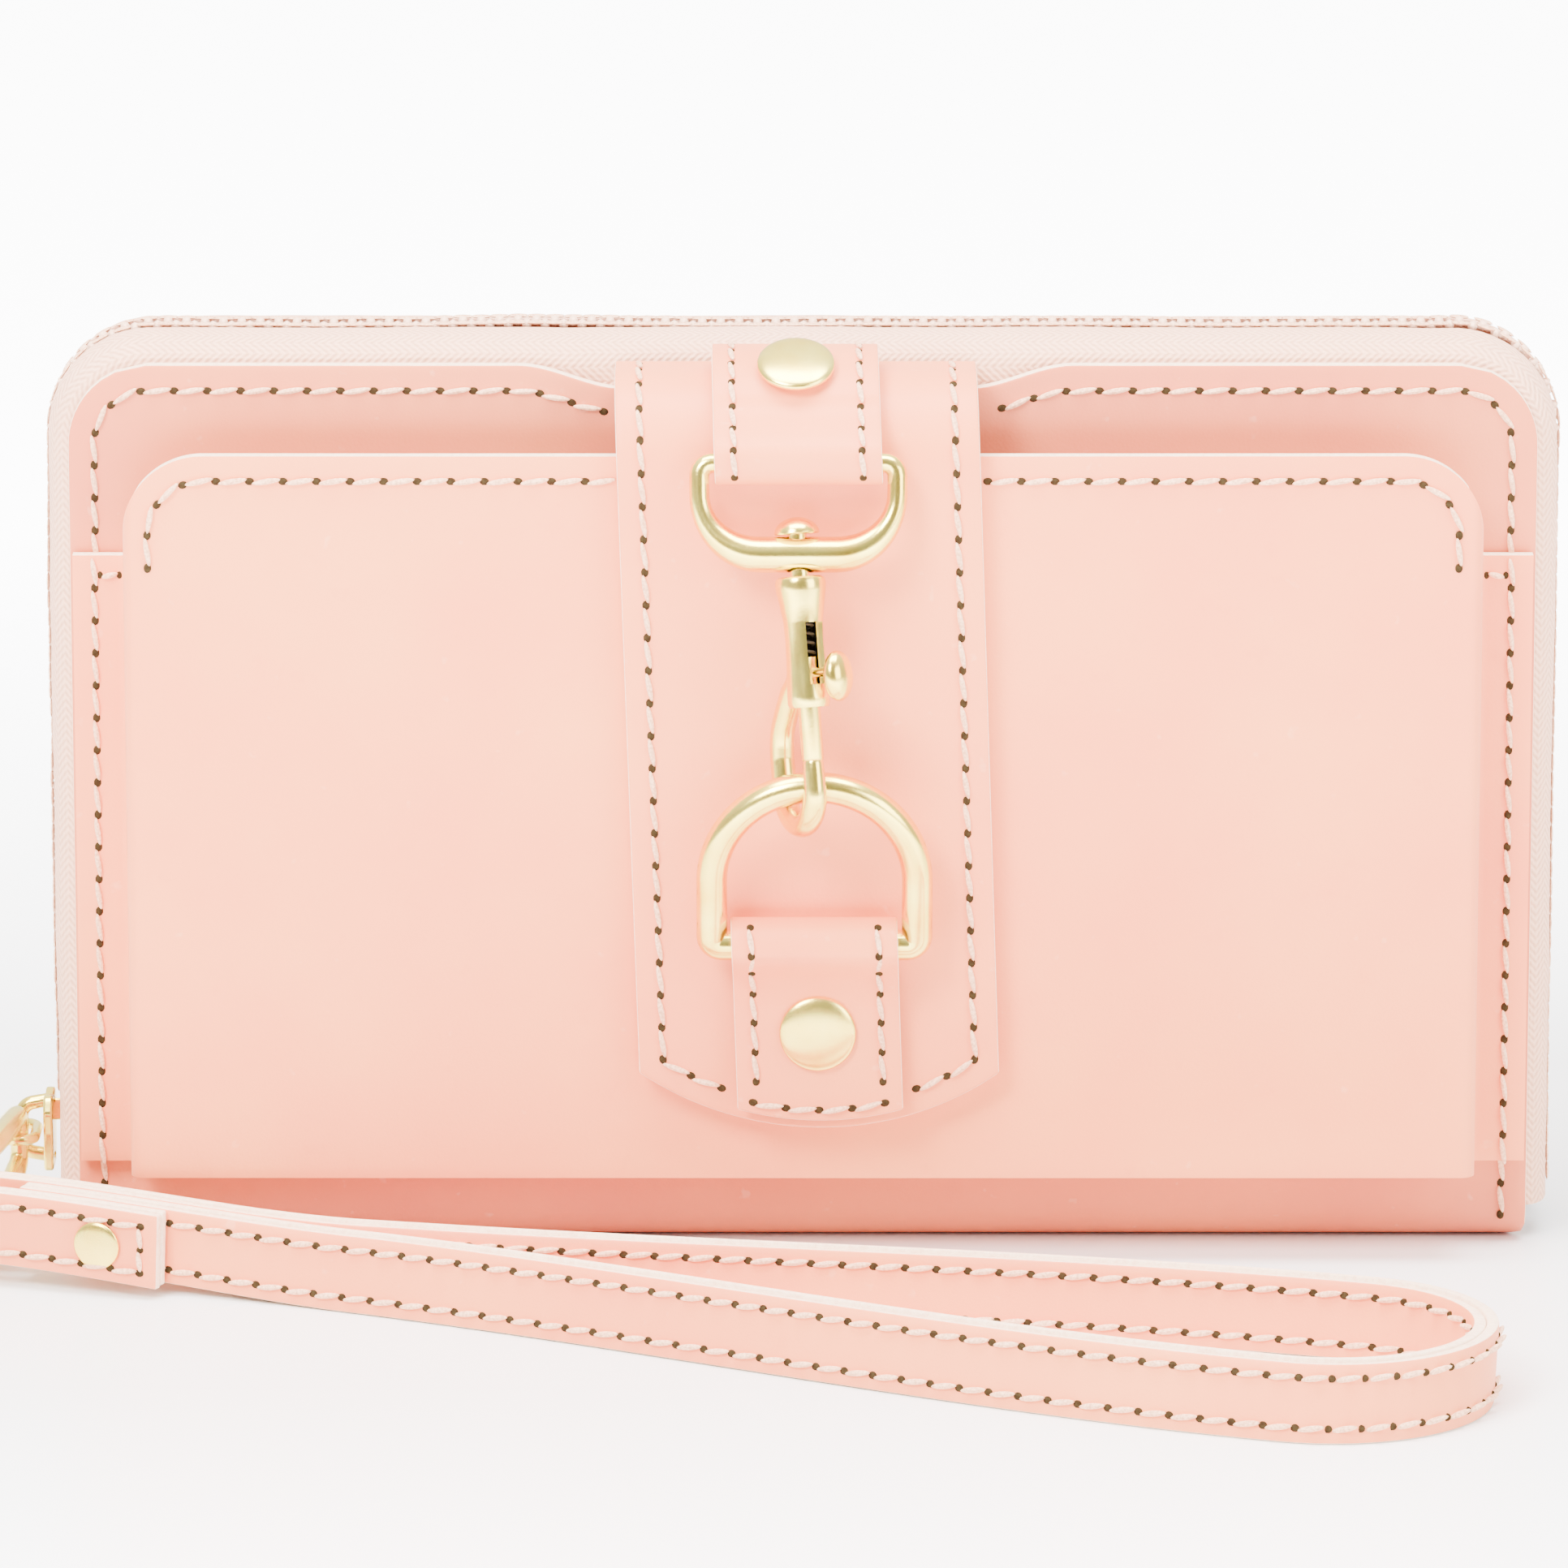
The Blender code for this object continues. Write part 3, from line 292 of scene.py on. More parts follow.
def arcPoints(centre, radius, start, end, count):
    turns = [start + (end - start) * i / (count - 1) for i in range(count)]
    return [Vector((centre[0] + radius * cos(a), centre[1] + radius * sin(a))) for a in turns]


def smoothPath(points, count=10):  # a curve through given points
    ends = [2 * points[0] - points[1], *points, 2 * points[-1] - points[-2]]
    path = []
    for a, b, c, d in zip(ends, ends[1:], ends[2:], ends[3:]):
        for i in range(count):
            t = i / count
            path.append(0.5 * (2 * b + (c - a) * t + (2 * a - 5 * b + 4 * c - d) * t * t
                               + (3 * b - a - 3 * c + d) * t ** 3))
    return path + [points[-1]]


class Route:  # a path that is read by length
    def __init__(self, points, closed=False):
        self.points = points + ([points[0]] if closed else [])
        self.marks = [0.0]
        for a, b in zip(self.points, self.points[1:]):
            self.marks.append(self.marks[-1] + (b - a).length)
        self.length = self.marks[-1]

    def at(self, distance):
        distance = max(0.0, min(self.length, distance))
        low, high = 0, len(self.marks) - 1
        while high - low > 1:
            middle = (low + high) // 2
            if self.marks[middle] <= distance:
                low = middle
            else:
                high = middle
        step = self.marks[high] - self.marks[low]
        return self.points[low].lerp(self.points[high], (distance - self.marks[low]) / step if step else 0)

    def heading(self, distance, reach=0.0004):
        return (self.at(distance + reach) - self.at(distance - reach)).normalized()


def addPiece(name, work, body, slot, looks, replaced=(), sharp=38):
    mesh = bpy.data.meshes.new(name)
    work.to_mesh(mesh)
    work.free()
    piece = bpy.data.objects.new(name, mesh)
    bpy.context.scene.collection.objects.link(piece)
    for look in looks:
        mesh.materials.append(finishes[look])
    mesh.shade_smooth()
    mesh.set_sharp_from_angle(angle=radians(sharp))
    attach(piece, body)
    if replaced:
        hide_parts(*replaced)
    return piece


def softEdges(piece, width, angle=50, segments=2):
    bevel = piece.modifiers.new("softEdges", "BEVEL")
    bevel.width = width
    bevel.segments = segments
    bevel.limit_method = "ANGLE"
    bevel.angle_limit = radians(angle)
    bevel.profile = 0.5
    bevel.material = -1


def cutSheet(name, body, slot, grid, place, thick, facing, looks=("leather", "edge"), replaced=(),
             weave=None, edgeRound=0.0003, backLook=1):  # a cut sheet, placed by its outer surface
    work = bmesh.new()
    bmesh.ops.create_grid(work, x_segments=grid[0], y_segments=grid[1], size=0.5)
    spots = {vert: (vert.co.x + 0.5, vert.co.y + 0.5) for vert in work.verts}
    if weave:
        layer = work.loops.layers.uv.new("weave")
        for face in work.faces:
            for loop in face.loops:
                u, v = spots[loop.vert]
                loop[layer].uv = (u * weave[1], v * weave[0])
    middle = min(work.faces, key=lambda face: face.calc_center_median().length)
    for vert, (u, v) in spots.items():
        vert.co = place(u, v)
    work.normal_update()
    if middle.normal.dot(Vector(facing)) < 0:
        bmesh.ops.reverse_faces(work, faces=work.faces)
    piece = addPiece(name, work, body, slot, looks, replaced)
    wall = piece.modifiers.new("wall", "SOLIDIFY")
    wall.thickness = thick
    wall.offset = -1
    wall.use_even_offset = True
    wall.material_offset_rim = min(1, len(looks) - 1)
    wall.material_offset = min(backLook, len(looks) - 1)
    softEdges(piece, edgeRound)
    return piece


def beadShape(sides):
    rows = max(4, sides - 2)
    verts = [Vector((0, 0, 1))]
    for i in range(1, rows):
        ring = sin(pi * i / rows)
        turns = [2 * pi * j / sides for j in range(sides)]
        verts += [Vector((ring * cos(turn), ring * sin(turn), cos(pi * i / rows))) for turn in turns]
    verts.append(Vector((0, 0, -1)))
    last = len(verts) - 1
    faces = []
    for j in range(sides):
        k = (j + 1) % sides
        faces.append((0, 1 + j, 1 + k))
        for i in range(rows - 2):
            near, far = 1 + i * sides, 1 + (i + 1) * sides
            faces.append((near + j, far + j, far + k, near + k))
        faces.append((last - sides + j, last, last - sides + k))
    return verts, faces


beadShapes = {sides: beadShape(sides) for sides in (6, 7, 8)}


def bead(work, centre, along, normal, size, look=0, sides=8):  # an oval bead: half length, width, height
    side = along.cross(normal).normalized()
    along = normal.cross(side).normalized()
    turn = Matrix((side * size[1], normal.normalized() * size[2], along * size[0])).transposed()
    verts, faces = beadShapes[sides]
    made = [work.verts.new(centre + turn @ vert) for vert in verts]
    for face in faces:
        work.faces.new([made[i] for i in face]).material_index = look


threadSizes = {
    "pitch": 4.1 * mm, "length": 1.80 * mm, "width": 0.38 * mm, "height": 0.40 * mm, "slant": radians(9),
    "holeLength": 0.60 * mm, "holeWidth": 0.50 * mm, "holeHeight": 0.12 * mm, "lift": 0.02 * mm,
}


def faced(sign):  # for a seam on a flat face: the same way out all along
    return lambda spot, distance: Vector((0, sign, 0))


def sewLine(work, route, normalAt, pitch=threadSizes["pitch"], slant=threadSizes["slant"],
            skip=lambda spot: False):
    count = max(1, round(route.length / pitch))
    step = route.length / count
    scale = min(1.0, step / threadSizes["pitch"])
    hole = (threadSizes["holeLength"] * scale, threadSizes["holeWidth"], threadSizes["holeHeight"])
    size = (threadSizes["length"] * scale, threadSizes["width"], threadSizes["height"])
    end = 0.5 * mm
    for i in range(count + 1):
        here = route.at(i * step)
        normal = normalAt(here, i * step)
        if skip(here):
            continue
        # each needle hole is a dark bead in the second look: painted shade
        bead(work, here, route.heading(min(max(i * step, end), route.length - end)), normal, hole, 1, 7)
        half = (i + 0.5) * step
        middle = route.at(half)
        if i < count and not skip(middle):
            heading = Matrix.Rotation(slant, 3, normal) @ route.heading(half)
            bead(work, middle + normal * size[2] * 0.6, heading, normalAt(middle, half), size)


def turned(work, profile, place, steps=64, look=0):  # (radius, height) pairs turned about Z, then placed
    verts = [work.verts.new((radius, 0, height)) for radius, height in profile]
    edges = [work.edges.new(pair) for pair in zip(verts, verts[1:])]
    made = bmesh.ops.spin(
        work, geom=verts + edges, cent=(0, 0, 0), axis=(0, 0, 1), angle=2 * pi, steps=steps, use_merge=True
    )
    faces = {face for vert in work.verts for face in vert.link_faces if not face.tag}
    fresh = {vert for face in faces for vert in face.verts}
    bmesh.ops.transform(work, matrix=place, verts=list(fresh))
    bmesh.ops.remove_doubles(work, verts=list(fresh), dist=1e-7)
    faces = [face for face in work.faces if not face.tag]
    bmesh.ops.recalc_face_normals(work, faces=faces)
    for face in faces:
        face.tag = True
        face.material_index = look


def roundInset(distance, radius):  # how far a rounded corner stands in, this far from the end
    if distance >= radius:
        return 0.0
    return radius - sqrt(max(0.0, radius ** 2 - (radius - distance) ** 2))


# covers

cover = {
    "width": 182 * mm, "height": 112 * mm, "thick": 2.0 * mm, "topRadius": 10 * mm,
    "footRadius": 1.6 * mm, "spineRadius": 5 * mm, "dip": 2.9 * mm, "dipReach": 13 * mm, "seam": 3.2 * mm,
    "wave": 0.12 * mm, "waveFoot": 12 * mm, "dipDepth": 35 * mm, "hingeGap": 0.3 * mm,
    "stepOut": 2.3 * mm,
}
tab = {
    "width": 44.6 * mm, "ply": 1.35 * mm, "gap": 0.3 * mm, "foot": 18.4 * mm, "arc": 7 * mm,
    "lean": radians(1.93), "shift": -0.9 * mm, "bend": 7.3 * mm, "seam": 3.0 * mm,
    "chapeWidth": 20.5 * mm, "chapeThick": 2.4 * mm, "chapeSeam": 2.4 * mm, "chapeInset": 1.6 * mm,
    "rivetAngle": radians(30), "lowerRivet": 31.2 * mm, "rivet": 4.75 * mm, "dome": 1.35 * mm,
    "shank": 1.4 * mm, "magnet": 6 * mm, "magnetHeight": 56 * mm,
}
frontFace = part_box("front_cover")[0].y
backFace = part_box("back_cover")[1].y
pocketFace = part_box("phone_pocket")[0].y
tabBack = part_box("tab_lining")[0].y + tab["ply"]
bendDepth = tabBack + tab["bend"]
bendHeight = cover["height"] - 2 * tab["ply"] - tab["bend"]
tabThick = 2 * tab["ply"] + tab["gap"]


def leanAt(height):
    return tab["shift"] + (cover["height"] - height) * tan(tab["lean"])


def topDip(x):  # the cover's top edge gives way where the tab is sewn over it
    past = abs(x - leanAt(cover["height"])) - tab["width"] / 2
    return cover["dip"] * (1 - eased((past + 0.001) / cover["dipReach"]))


def makeFrontCover():
    spine = cover["spineRadius"]
    edge = backFace - cover["thick"] - cover["hingeGap"]
    corner = arcPoints((frontFace + spine, spine), spine, pi, 1.5 * pi, 12)
    path = Route([Vector((frontFace, cover["height"])), *corner, Vector((edge, 0))])

    def place(u, v):
        distance = path.length * (v * v * 0.35 + v * 0.65)  # closer rows at the top
        spot = path.at(distance)
        height = spot.y
        half = cover["width"] / 2 - roundInset(distance, cover["topRadius"])
        half -= roundInset(max(0.0, height), cover["footRadius"])
        x = (u * 2 - 1) * half
        fade = max(0.0, 1 - distance / cover["dipDepth"])
        wave = cover["wave"] * max(0.0, noise.noise(Vector((x * 25, height * 30, 3))))
        depth = spot.x + (wave if height > cover["waveFoot"] else 0)
        return Vector((x, depth, height - topDip(x) * fade ** 1.5))

    # painted shade: the front cover takes the darker copy of the leather
    cutSheet("frontCover", "front_half", "front_cover", (150, 90), place, cover["thick"], (0, -1, 0),
             ("shadedCoverLeather", "edge"), ("front_cover",))


def makeBackCover():
    def place(u, v):
        distance = cover["height"] * (v * v * 0.4 + v * 0.6)
        half = cover["width"] / 2 - roundInset(distance, cover["topRadius"])
        height = cover["height"] - distance
        half -= roundInset(height, cover["footRadius"])
        return Vector(((u * 2 - 1) * half, backFace, max(height, 0.4 * mm)))

    # painted shade: the back cover takes the darker copy of the leather
    cutSheet("backCover", "back_half", "back_cover", (110, 80), place, cover["thick"], (0, 1, 0),
             ("shadedCoverLeather", "edge"), ("back_cover",), edgeRound=0.5 * mm)


def coverOutline(inset, dipped, foot):  # the seam round three sides of a cover, left foot to right foot
    half = cover["width"] / 2 - inset
    top = cover["height"] - inset
    radius = cover["topRadius"] - inset
    points = [Vector((-half, foot)), *arcPoints((-half + radius, top - radius), radius, pi, pi / 2, 14)]
    for i in range(1, 60):
        x = (-half + radius) * (1 - i / 30)
        points.append(Vector((x, top - (topDip(x) if dipped else 0))))
    points += [*arcPoints((half - radius, top - radius), radius, pi / 2, 0, 14), Vector((half, foot))]
    return points


def sewCovers():
    depth = frontFace - threadSizes["lift"]
    outline = coverOutline(cover["seam"], True, 3.5 * mm)
    dense = Route([Vector((spot.x, depth, spot.y)) for spot in outline])
    lifted = []
    for i in range(900):
        spot = dense.at(dense.length * i / 899)
        step = 0
        if abs(spot.x) > 84 * mm:  # over the pocket's flange, between its foot and its top
            step = eased((88.5 * mm - spot.z) / (1.2 * mm)) * eased((spot.z - 10.8 * mm) / (1.2 * mm))
        lifted.append(spot - Vector((0, step * cover["stepOut"], 0)))
    tabLeft = leanAt(cover["height"]) - tab["width"] / 2
    work = bmesh.new()
    sewLine(work, Route(lifted), faced(-1),
            skip=lambda spot: tabLeft < spot.x < tabLeft + tab["width"] and spot.z > 50 * mm)
    addPiece("frontSeam", work, "front_half", "front_cover", ("thread", "hole"))
    work = bmesh.new()
    depth = backFace + threadSizes["lift"]
    outline = coverOutline(cover["seam"], False, 4.5 * mm)
    sewLine(work, Route([Vector((spot.x, depth, spot.y)) for spot in outline]), faced(1))
    addPiece("backSeam", work, "back_half", "back_cover", ("thread", "hole"))


makeFrontCover()
makeBackCover()
sewCovers()
print("covers ready")


# phone pocket

pocket = {
    "wall": 2.0 * mm, "fold": 1.9 * mm, "flange": 6.7 * mm, "flangeTop": 88.5 * mm, "corner": 10 * mm,
    "topSeam": 3.1 * mm, "inner": 0.8 * mm, "wave": 0.18 * mm,
}
pocketLow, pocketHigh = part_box("phone_pocket")
pocketHalf = pocketHigh.x - pocket["flange"]
pocketBack = pocketHigh.y


def pocketTopAt(plan, distance, bends):  # level in front, round at the corners, sloping down the sides
    x = abs(plan.x)
    if distance < bends[0] or distance > bends[3]:
        return pocket["flangeTop"]
    if bends[1] <= distance <= bends[2]:
        return pocketHigh.z - roundInset(pocketHalf - x, pocket["corner"])
    past = distance - bends[0] if distance <= bends[1] else bends[3] - distance
    side = past / (bends[1] - bends[0] if distance <= bends[1] else bends[3] - bends[2])
    low = pocketHigh.z - pocket["corner"]
    return pocket["flangeTop"] + (low - pocket["flangeTop"]) * eased(side)


def makePocket():
    fold, inner = pocket["fold"], pocket["inner"]
    wing = pocketHigh.x
    back = pocketBack - pocket["wall"]
    front = pocketFace
    right = [
        Vector((wing, back)), *arcPoints((pocketHalf + inner, back - inner), inner, pi / 2, pi, 5),
        *arcPoints((pocketHalf - fold, front + fold), fold, 0, -pi / 2, 10),
    ]
    left = [Vector((-spot.x, spot.y)) for spot in reversed(right)]
    path = Route(right + left)
    side = Route(right[:7]).length
    flange = pocket["flange"] - inner
    bends = (flange, side, path.length - side, path.length - flange)

    def place(u, v):
        plan = path.at(path.length * u)
        top = pocketTopAt(plan, path.length * u, bends)
        height = pocketLow.z + (top - pocketLow.z) * v
        depth = plan.y
        if plan.y < front + 0.1 * mm:
            depth = max(front, depth + pocket["wave"] * noise.noise(Vector((plan.x * 18, height * 22, 7))))
        return Vector((plan.x, depth, height))

    cutSheet("phonePocket", "front_half", "phone_pocket", (460, 60), place, pocket["wall"], (0, -1, 0),
             replaced=("phone_pocket",))

    def placeFloor(u, v):  # the pocket's floor, folded in under the front
        x = (u * 2 - 1) * (pocketHalf - 2.3 * mm)
        return Vector((x, front + 2.2 * mm + (pocketBack - front - 2.4 * mm) * v, pocketLow.z + 0.15 * mm))

    cutSheet("pocketFloor", "front_half", "phone_pocket", (40, 4), placeFloor, pocket["wall"] * 0.8,
             (0, 0, -1))
    lift = threadSizes["lift"]
    seam = pocket["topSeam"]
    radius = pocket["corner"] - seam
    half = pocketHalf - seam
    top = pocketHigh.z - seam
    foot = top - radius - 4 * mm
    outline = [
        Vector((-half, foot)), *arcPoints((-half + radius, top - radius), radius, pi, pi / 2, 12),
        *arcPoints((half - radius, top - radius), radius, pi / 2, 0, 12), Vector((half, foot)),
    ]
    tabLeft = leanAt(pocketHigh.z) - tab["width"] / 2
    work = bmesh.new()
    sewLine(work, Route([Vector((spot.x, front - lift, spot.y)) for spot in outline]), faced(-1),
            skip=lambda spot: tabLeft < spot.x < tabLeft + tab["width"])
    for sign in (-1, 1):  # a short seam across the top of each flange
        height = pocket["flangeTop"] - 2.5 * mm
        ends = [Vector((sign * x, back - lift, height)) for x in (pocketHalf + 0.9 * mm, wing - 3.4 * mm)]
        sewLine(work, Route(ends), faced(-1), slant=radians(-14) * sign)
    addPiece("pocketSeam", work, "front_half", "phone_pocket", ("thread", "hole"))


makePocket()
print("pocket ready")


# closure tab and its chapes

chapeOut = tabThick + tab["gap"] + tab["chapeThick"]
chapeFace = tabBack - chapeOut


def tabFootAt(x, foot):  # the curved lower edge
    half = tab["width"] / 2
    radius = (half * half + tab["arc"] ** 2) / (2 * tab["arc"])
    return tab["foot"] + radius - sqrt((radius - foot) ** 2 - x * x)


def tabPath(offset):  # over the top edge and down the front, at this distance outside the inner ply
    radius = tab["bend"] + offset
    root = frontFace + cover["thick"] - 0.6 * mm
    return Route([
        Vector((root, bendHeight + radius)), *arcPoints((bendDepth, bendHeight), radius, pi / 2, pi, 20),
        Vector((bendDepth - radius, tab["foot"])),
    ])


def onTab(path, across, distance):
    spot = path.at(distance)
    return Vector((across + leanAt(spot.y), spot.x, spot.y))


def tabPly(name, node, offset, looks, backLook=1):
    path = tabPath(offset)

    def place(u, v):
        across = (u - 0.5) * tab["width"]
        cut = tabFootAt(across, 0) - tab["foot"]
        return onTab(path, across, (path.length - cut) * v)

    cutSheet(name, "tab", node, (46, 110), place, tab["ply"], (0, -1, 0), looks, (node,),
             edgeRound=0.28 * mm, backLook=backLook)


def tabSeam(offset, root):  # down one edge, round the foot and up the other
    path = tabPath(offset + threadSizes["lift"])
    half = tab["width"] / 2 - tab["seam"]
    cut = tabFootAt(half, tab["seam"]) - tab["foot"]
    side = path.length - cut - root
    points = [onTab(path, -half, root + side * i / 59) for i in range(60)]
    for i in range(1, 40):
        x = -half + 2 * half * i / 40
        points.append(onTab(path, x, path.length - (tabFootAt(x, tab["seam"]) - tab["foot"])))
    points += [onTab(path, half, path.length - cut - side * i / 59) for i in range(60)]
    return Route(points)


def bendNormal(spot, distance):
    if spot.z < bendHeight:
        return Vector((0, -1, 0))
    away = Vector((0, spot.y - bendDepth, spot.z - bendHeight))
    return away.normalized() if spot.y < bendDepth else Vector((0, 0, 1))


def disc(radius, half):  # a round magnet plate with a rounded rim, for turning
    rim = 0.3 * mm
    return [(0, half), (radius - rim, half), (radius, half - rim), (radius, -half), (0, -half)]


def makeTab():
    tabPly("tabLining", "tab_lining", tab["ply"], ("edge", "edge", "leather"), 2)
    tabPly("closureTab", "closure_tab", tabThick, ("leather", "edge"))
    work = bmesh.new()
    sewLine(work, tabSeam(tabThick, 2 * mm), bendNormal,
            skip=lambda spot: abs(spot.x - leanAt(spot.z)) < tab["chapeWidth"] / 2 and spot.z < 40 * mm)
    addPiece("tabSeam", work, "tab", "closure_tab", ("thread", "hole"))
    height = tab["magnetHeight"]
    middle = Matrix.Translation((leanAt(height), tabBack - tab["ply"] / 2, height))
    work = bmesh.new()
    turned(work, disc(tab["magnet"], tab["ply"] / 2), middle @ Matrix.Rotation(pi / 2, 4, "X"), 48)
    addPiece("tabMagnet", work, "tab", "tab_magnet", ("steel",), ("tab_magnet",))


def chapeSheet(name, node, points, footed):
    path = Route(smoothPath([Vector(point) for point in points]))

    def place(u, v):
        across = (u - 0.5) * tab["chapeWidth"]
        distance = path.length * v
        if footed:
            cut = tabFootAt(across, tab["chapeInset"]) - tabFootAt(0, tab["chapeInset"])
            distance += cut * (1 - v) ** 3
        return onTab(path, across, distance)

    facing = (0, -1, 0) if footed else (0, -0.6, 0.8)
    cutSheet(name, "tab", node, (22, 120), place, tab["chapeThick"] / 2, facing, replaced=(node,),
             edgeRound=0.25 * mm)
    return path


def sewChape(work, path, first, length, pitch):  # one line of stitches near each side
    half = tab["chapeWidth"] / 2 - tab["chapeSeam"]
    for sign in (-1, 1):
        spots = [onTab(path, sign * half, first + length * i / 60) for i in range(61)]
        sewLine(work, Route(spots), lambda spot, distance: outward(path, distance + first), pitch)


def makeChapes():
    radius = tab["bend"] + chapeOut
    _, y, z = joints["eye_swing"]["pos_m"]
    roll = 2.68 * mm
    arc = arcPoints((bendDepth, bendHeight), radius, pi / 2, radians(148), 6)
    upper = [
        (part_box("upper_chape")[1].y, bendHeight + radius), *arc, (y - roll * 0.78, z + roll * 0.95),
        (y - roll, z), (y - roll * 0.7, z - roll * 0.72), (y, z - roll), (y + roll * 0.72, z - roll * 0.7),
        (y + roll, z), (y + roll * 0.98, z + 2.2 * mm),
    ]
    path = chapeSheet("upperChape", "upper_chape", upper, False)
    work = bmesh.new()
    sewChape(work, path, 0.8 * mm, radius * radians(58) + 11.5 * mm, 3.6 * mm)
    _, y, z = joints["ring_swing"]["pos_m"]
    roll = 3.48 * mm
    foot = tabFootAt(0, tab["chapeInset"])
    lower = [
        (chapeFace, foot), (chapeFace, foot + 6 * mm), (chapeFace, foot + 12 * mm),
        (chapeFace - 0.1 * mm, z - 7.5 * mm), (chapeFace - 1.3 * mm, z - 4.5 * mm),
        (y - roll * 0.93, z - roll * 0.42), (y - roll, z + 0.3 * mm), (y - roll * 0.72, z + roll * 0.7),
        (y, z + roll), (y + roll * 0.7, z + roll * 0.7), (y + roll * 0.97, z), (y + roll * 0.95, z - 5 * mm),
    ]
    path = chapeSheet("lowerChape", "lower_chape", lower, True)
    sewChape(work, path, tab["seam"] + 2 * mm, 22.5 * mm, 3.7 * mm)
    inside = tab["chapeWidth"] / 2 - 0.4 * mm
    sewLine(work, tabSeam(chapeOut, 2 * mm), faced(-1),
            skip=lambda spot: abs(spot.x - leanAt(spot.z)) > inside or spot.z > 30 * mm)
    addPiece("chapeSeams", work, "tab", "upper_chape", ("thread", "hole"))


def outward(path, distance):  # the side of a chape that its leather shows
    end = 0.6 * mm
    heading = path.heading(max(end, min(distance, path.length - end)))
    normal = Vector((0, heading.y, -heading.x))
    if normal.z < -0.2 or (normal.y > 0 and normal.z < 0.3):
        normal = -normal
    return normal


def rivetProfile(radius, seat, dome):
    lip = 0.35 * mm
    turns = [pi / 2 * i / 10 for i in range(1, 10)]
    curve = [(radius * sin(turn), seat + lip + (dome - lip) * cos(turn)) for turn in turns]
    rim = [(radius, seat + lip), (radius, seat + 0.1 * mm), (radius - 0.25 * mm, seat)]
    return [(0, seat + dome), *curve, *rim]


def makeRivets():
    seat = chapeOut + 0.05 * mm
    angle = tab["rivetAngle"]
    bend = tab["bend"]
    upper = (leanAt(cover["height"]), bendDepth - bend * sin(angle), bendHeight + bend * cos(angle))
    lower = (leanAt(tab["lowerRivet"]), tabBack, tab["lowerRivet"])
    rivets = (
        ("upperRivet", "upper_rivet", upper, angle, seat + 0.7 * mm),
        ("lowerRivet", "lower_rivet", lower, pi / 2, seat),
    )
    for name, node, spot, turn, lifted in rivets:
        work = bmesh.new()
        shank = tab["shank"]
        profile = rivetProfile(tab["rivet"], lifted, tab["dome"]) + [(shank, lifted), (shank, 0), (0, 0)]
        turned(work, profile, Matrix.Translation(spot) @ Matrix.Rotation(turn, 4, "X"), 72)
        addPiece(name, work, "tab", node, ("rivetGold",), (node,), 30)


makeTab()
makeChapes()
makeRivets()
print("tab ready")


# zip tapes, teeth and slider

zipper = {
    "foot": 4 * mm, "bulge": 3.6 * mm, "tape": 0.7 * mm, "start": 10.35 * mm, "end": 3.1 * mm,
    "toothPitch": 2.3 * mm, "tooth": (1.0 * mm, 0.62 * mm, 0.72 * mm), "toothDepth": 1.32 * mm,
    "lanes": (1.9 * mm, 2.75 * mm),
}
slider = {
    "plate": 1.2 * mm, "width": 8.5 * mm, "foot": 6.5 * mm, "length": 10 * mm, "wire": 0.9 * mm,
    "apart": 1.0 * mm, "bridge": 0.24 * mm, "crown": 3.6 * mm,
}
zipX = -(cover["width"] / 2 + zipper["bulge"] - 0.7 * mm)
crownX = zipX - 5.2 * mm
sliderMiddle = slider["foot"] + slider["length"] / 2
zipSide = cover["height"] - cover["topRadius"] - zipper["foot"]
zipTop = cover["width"] - 2 * cover["topRadius"]
zipCurve = cover["topRadius"] * pi / 2
zipLength = 2 * zipSide + 2 * zipCurve + zipTop


def zipSpot(distance, past):  # a spot along the zip and the direction that points out of the case there
    radius = cover["topRadius"]
    edge = cover["width"] / 2
    if distance < zipSide:
        place, out = (-edge, zipper["foot"] + distance), (-1, 0)
    elif distance < zipSide + zipCurve:
        turn = pi - (distance - zipSide) / radius
        out = (cos(turn), sin(turn))
        place = (-edge + radius + radius * out[0], cover["height"] - radius + radius * out[1])
    elif distance < zipSide + zipCurve + zipTop:
        place, out = (-edge + radius + distance - zipSide - zipCurve, cover["height"]), (0, 1)
    else:
        spot, out = zipSpot(zipLength - distance, past)
        return Vector((-spot.x, spot.y)), Vector((-out.x, out.y))
    return Vector(place) + Vector(out) * past, Vector(out)


def zipWave(distance):  # the tape is not quite even along its length
    slow = noise.noise(Vector((distance * 34, 0, 11)))
    quick = noise.noise(Vector((distance * 160, 5, 2)))
    return 0.3 * mm * slow + 0.12 * mm * quick


def makeTape(word, body, sign):
    node = f"zip_tape_{word.lower()}"
    rise = zipper["bulge"] - 0.35 * mm
    curl = zipper["start"] - zipper["end"]
    section = [Vector((-6 * mm, zipper["start"])), Vector((-2.5 * mm, zipper["start"]))]
    turns = [pi / 2 * i / 10 for i in range(11)]
    section += [Vector((rise * sin(turn), zipper["end"] + curl * max(0, cos(turn)) ** 0.8)) for turn in turns]
    section = Route(section)

    def place(u, v):
        distance = zipLength * u
        spot = section.at(section.length * v)
        hold = eased(v / 0.4)
        plan, _ = zipSpot(distance, spot.x + (zipWave(distance + sign) - 0.2 * mm) * hold)
        return Vector((plan.x, sign * spot.y, plan.y))

    cutSheet(f"zipTape{word}", body, node, (330, 20), place, zipper["tape"], (0, sign, 0.001), ("tape", "tape"),
             (node,), weave=(section.length / mm, zipLength / mm), edgeRound=0.12 * mm)


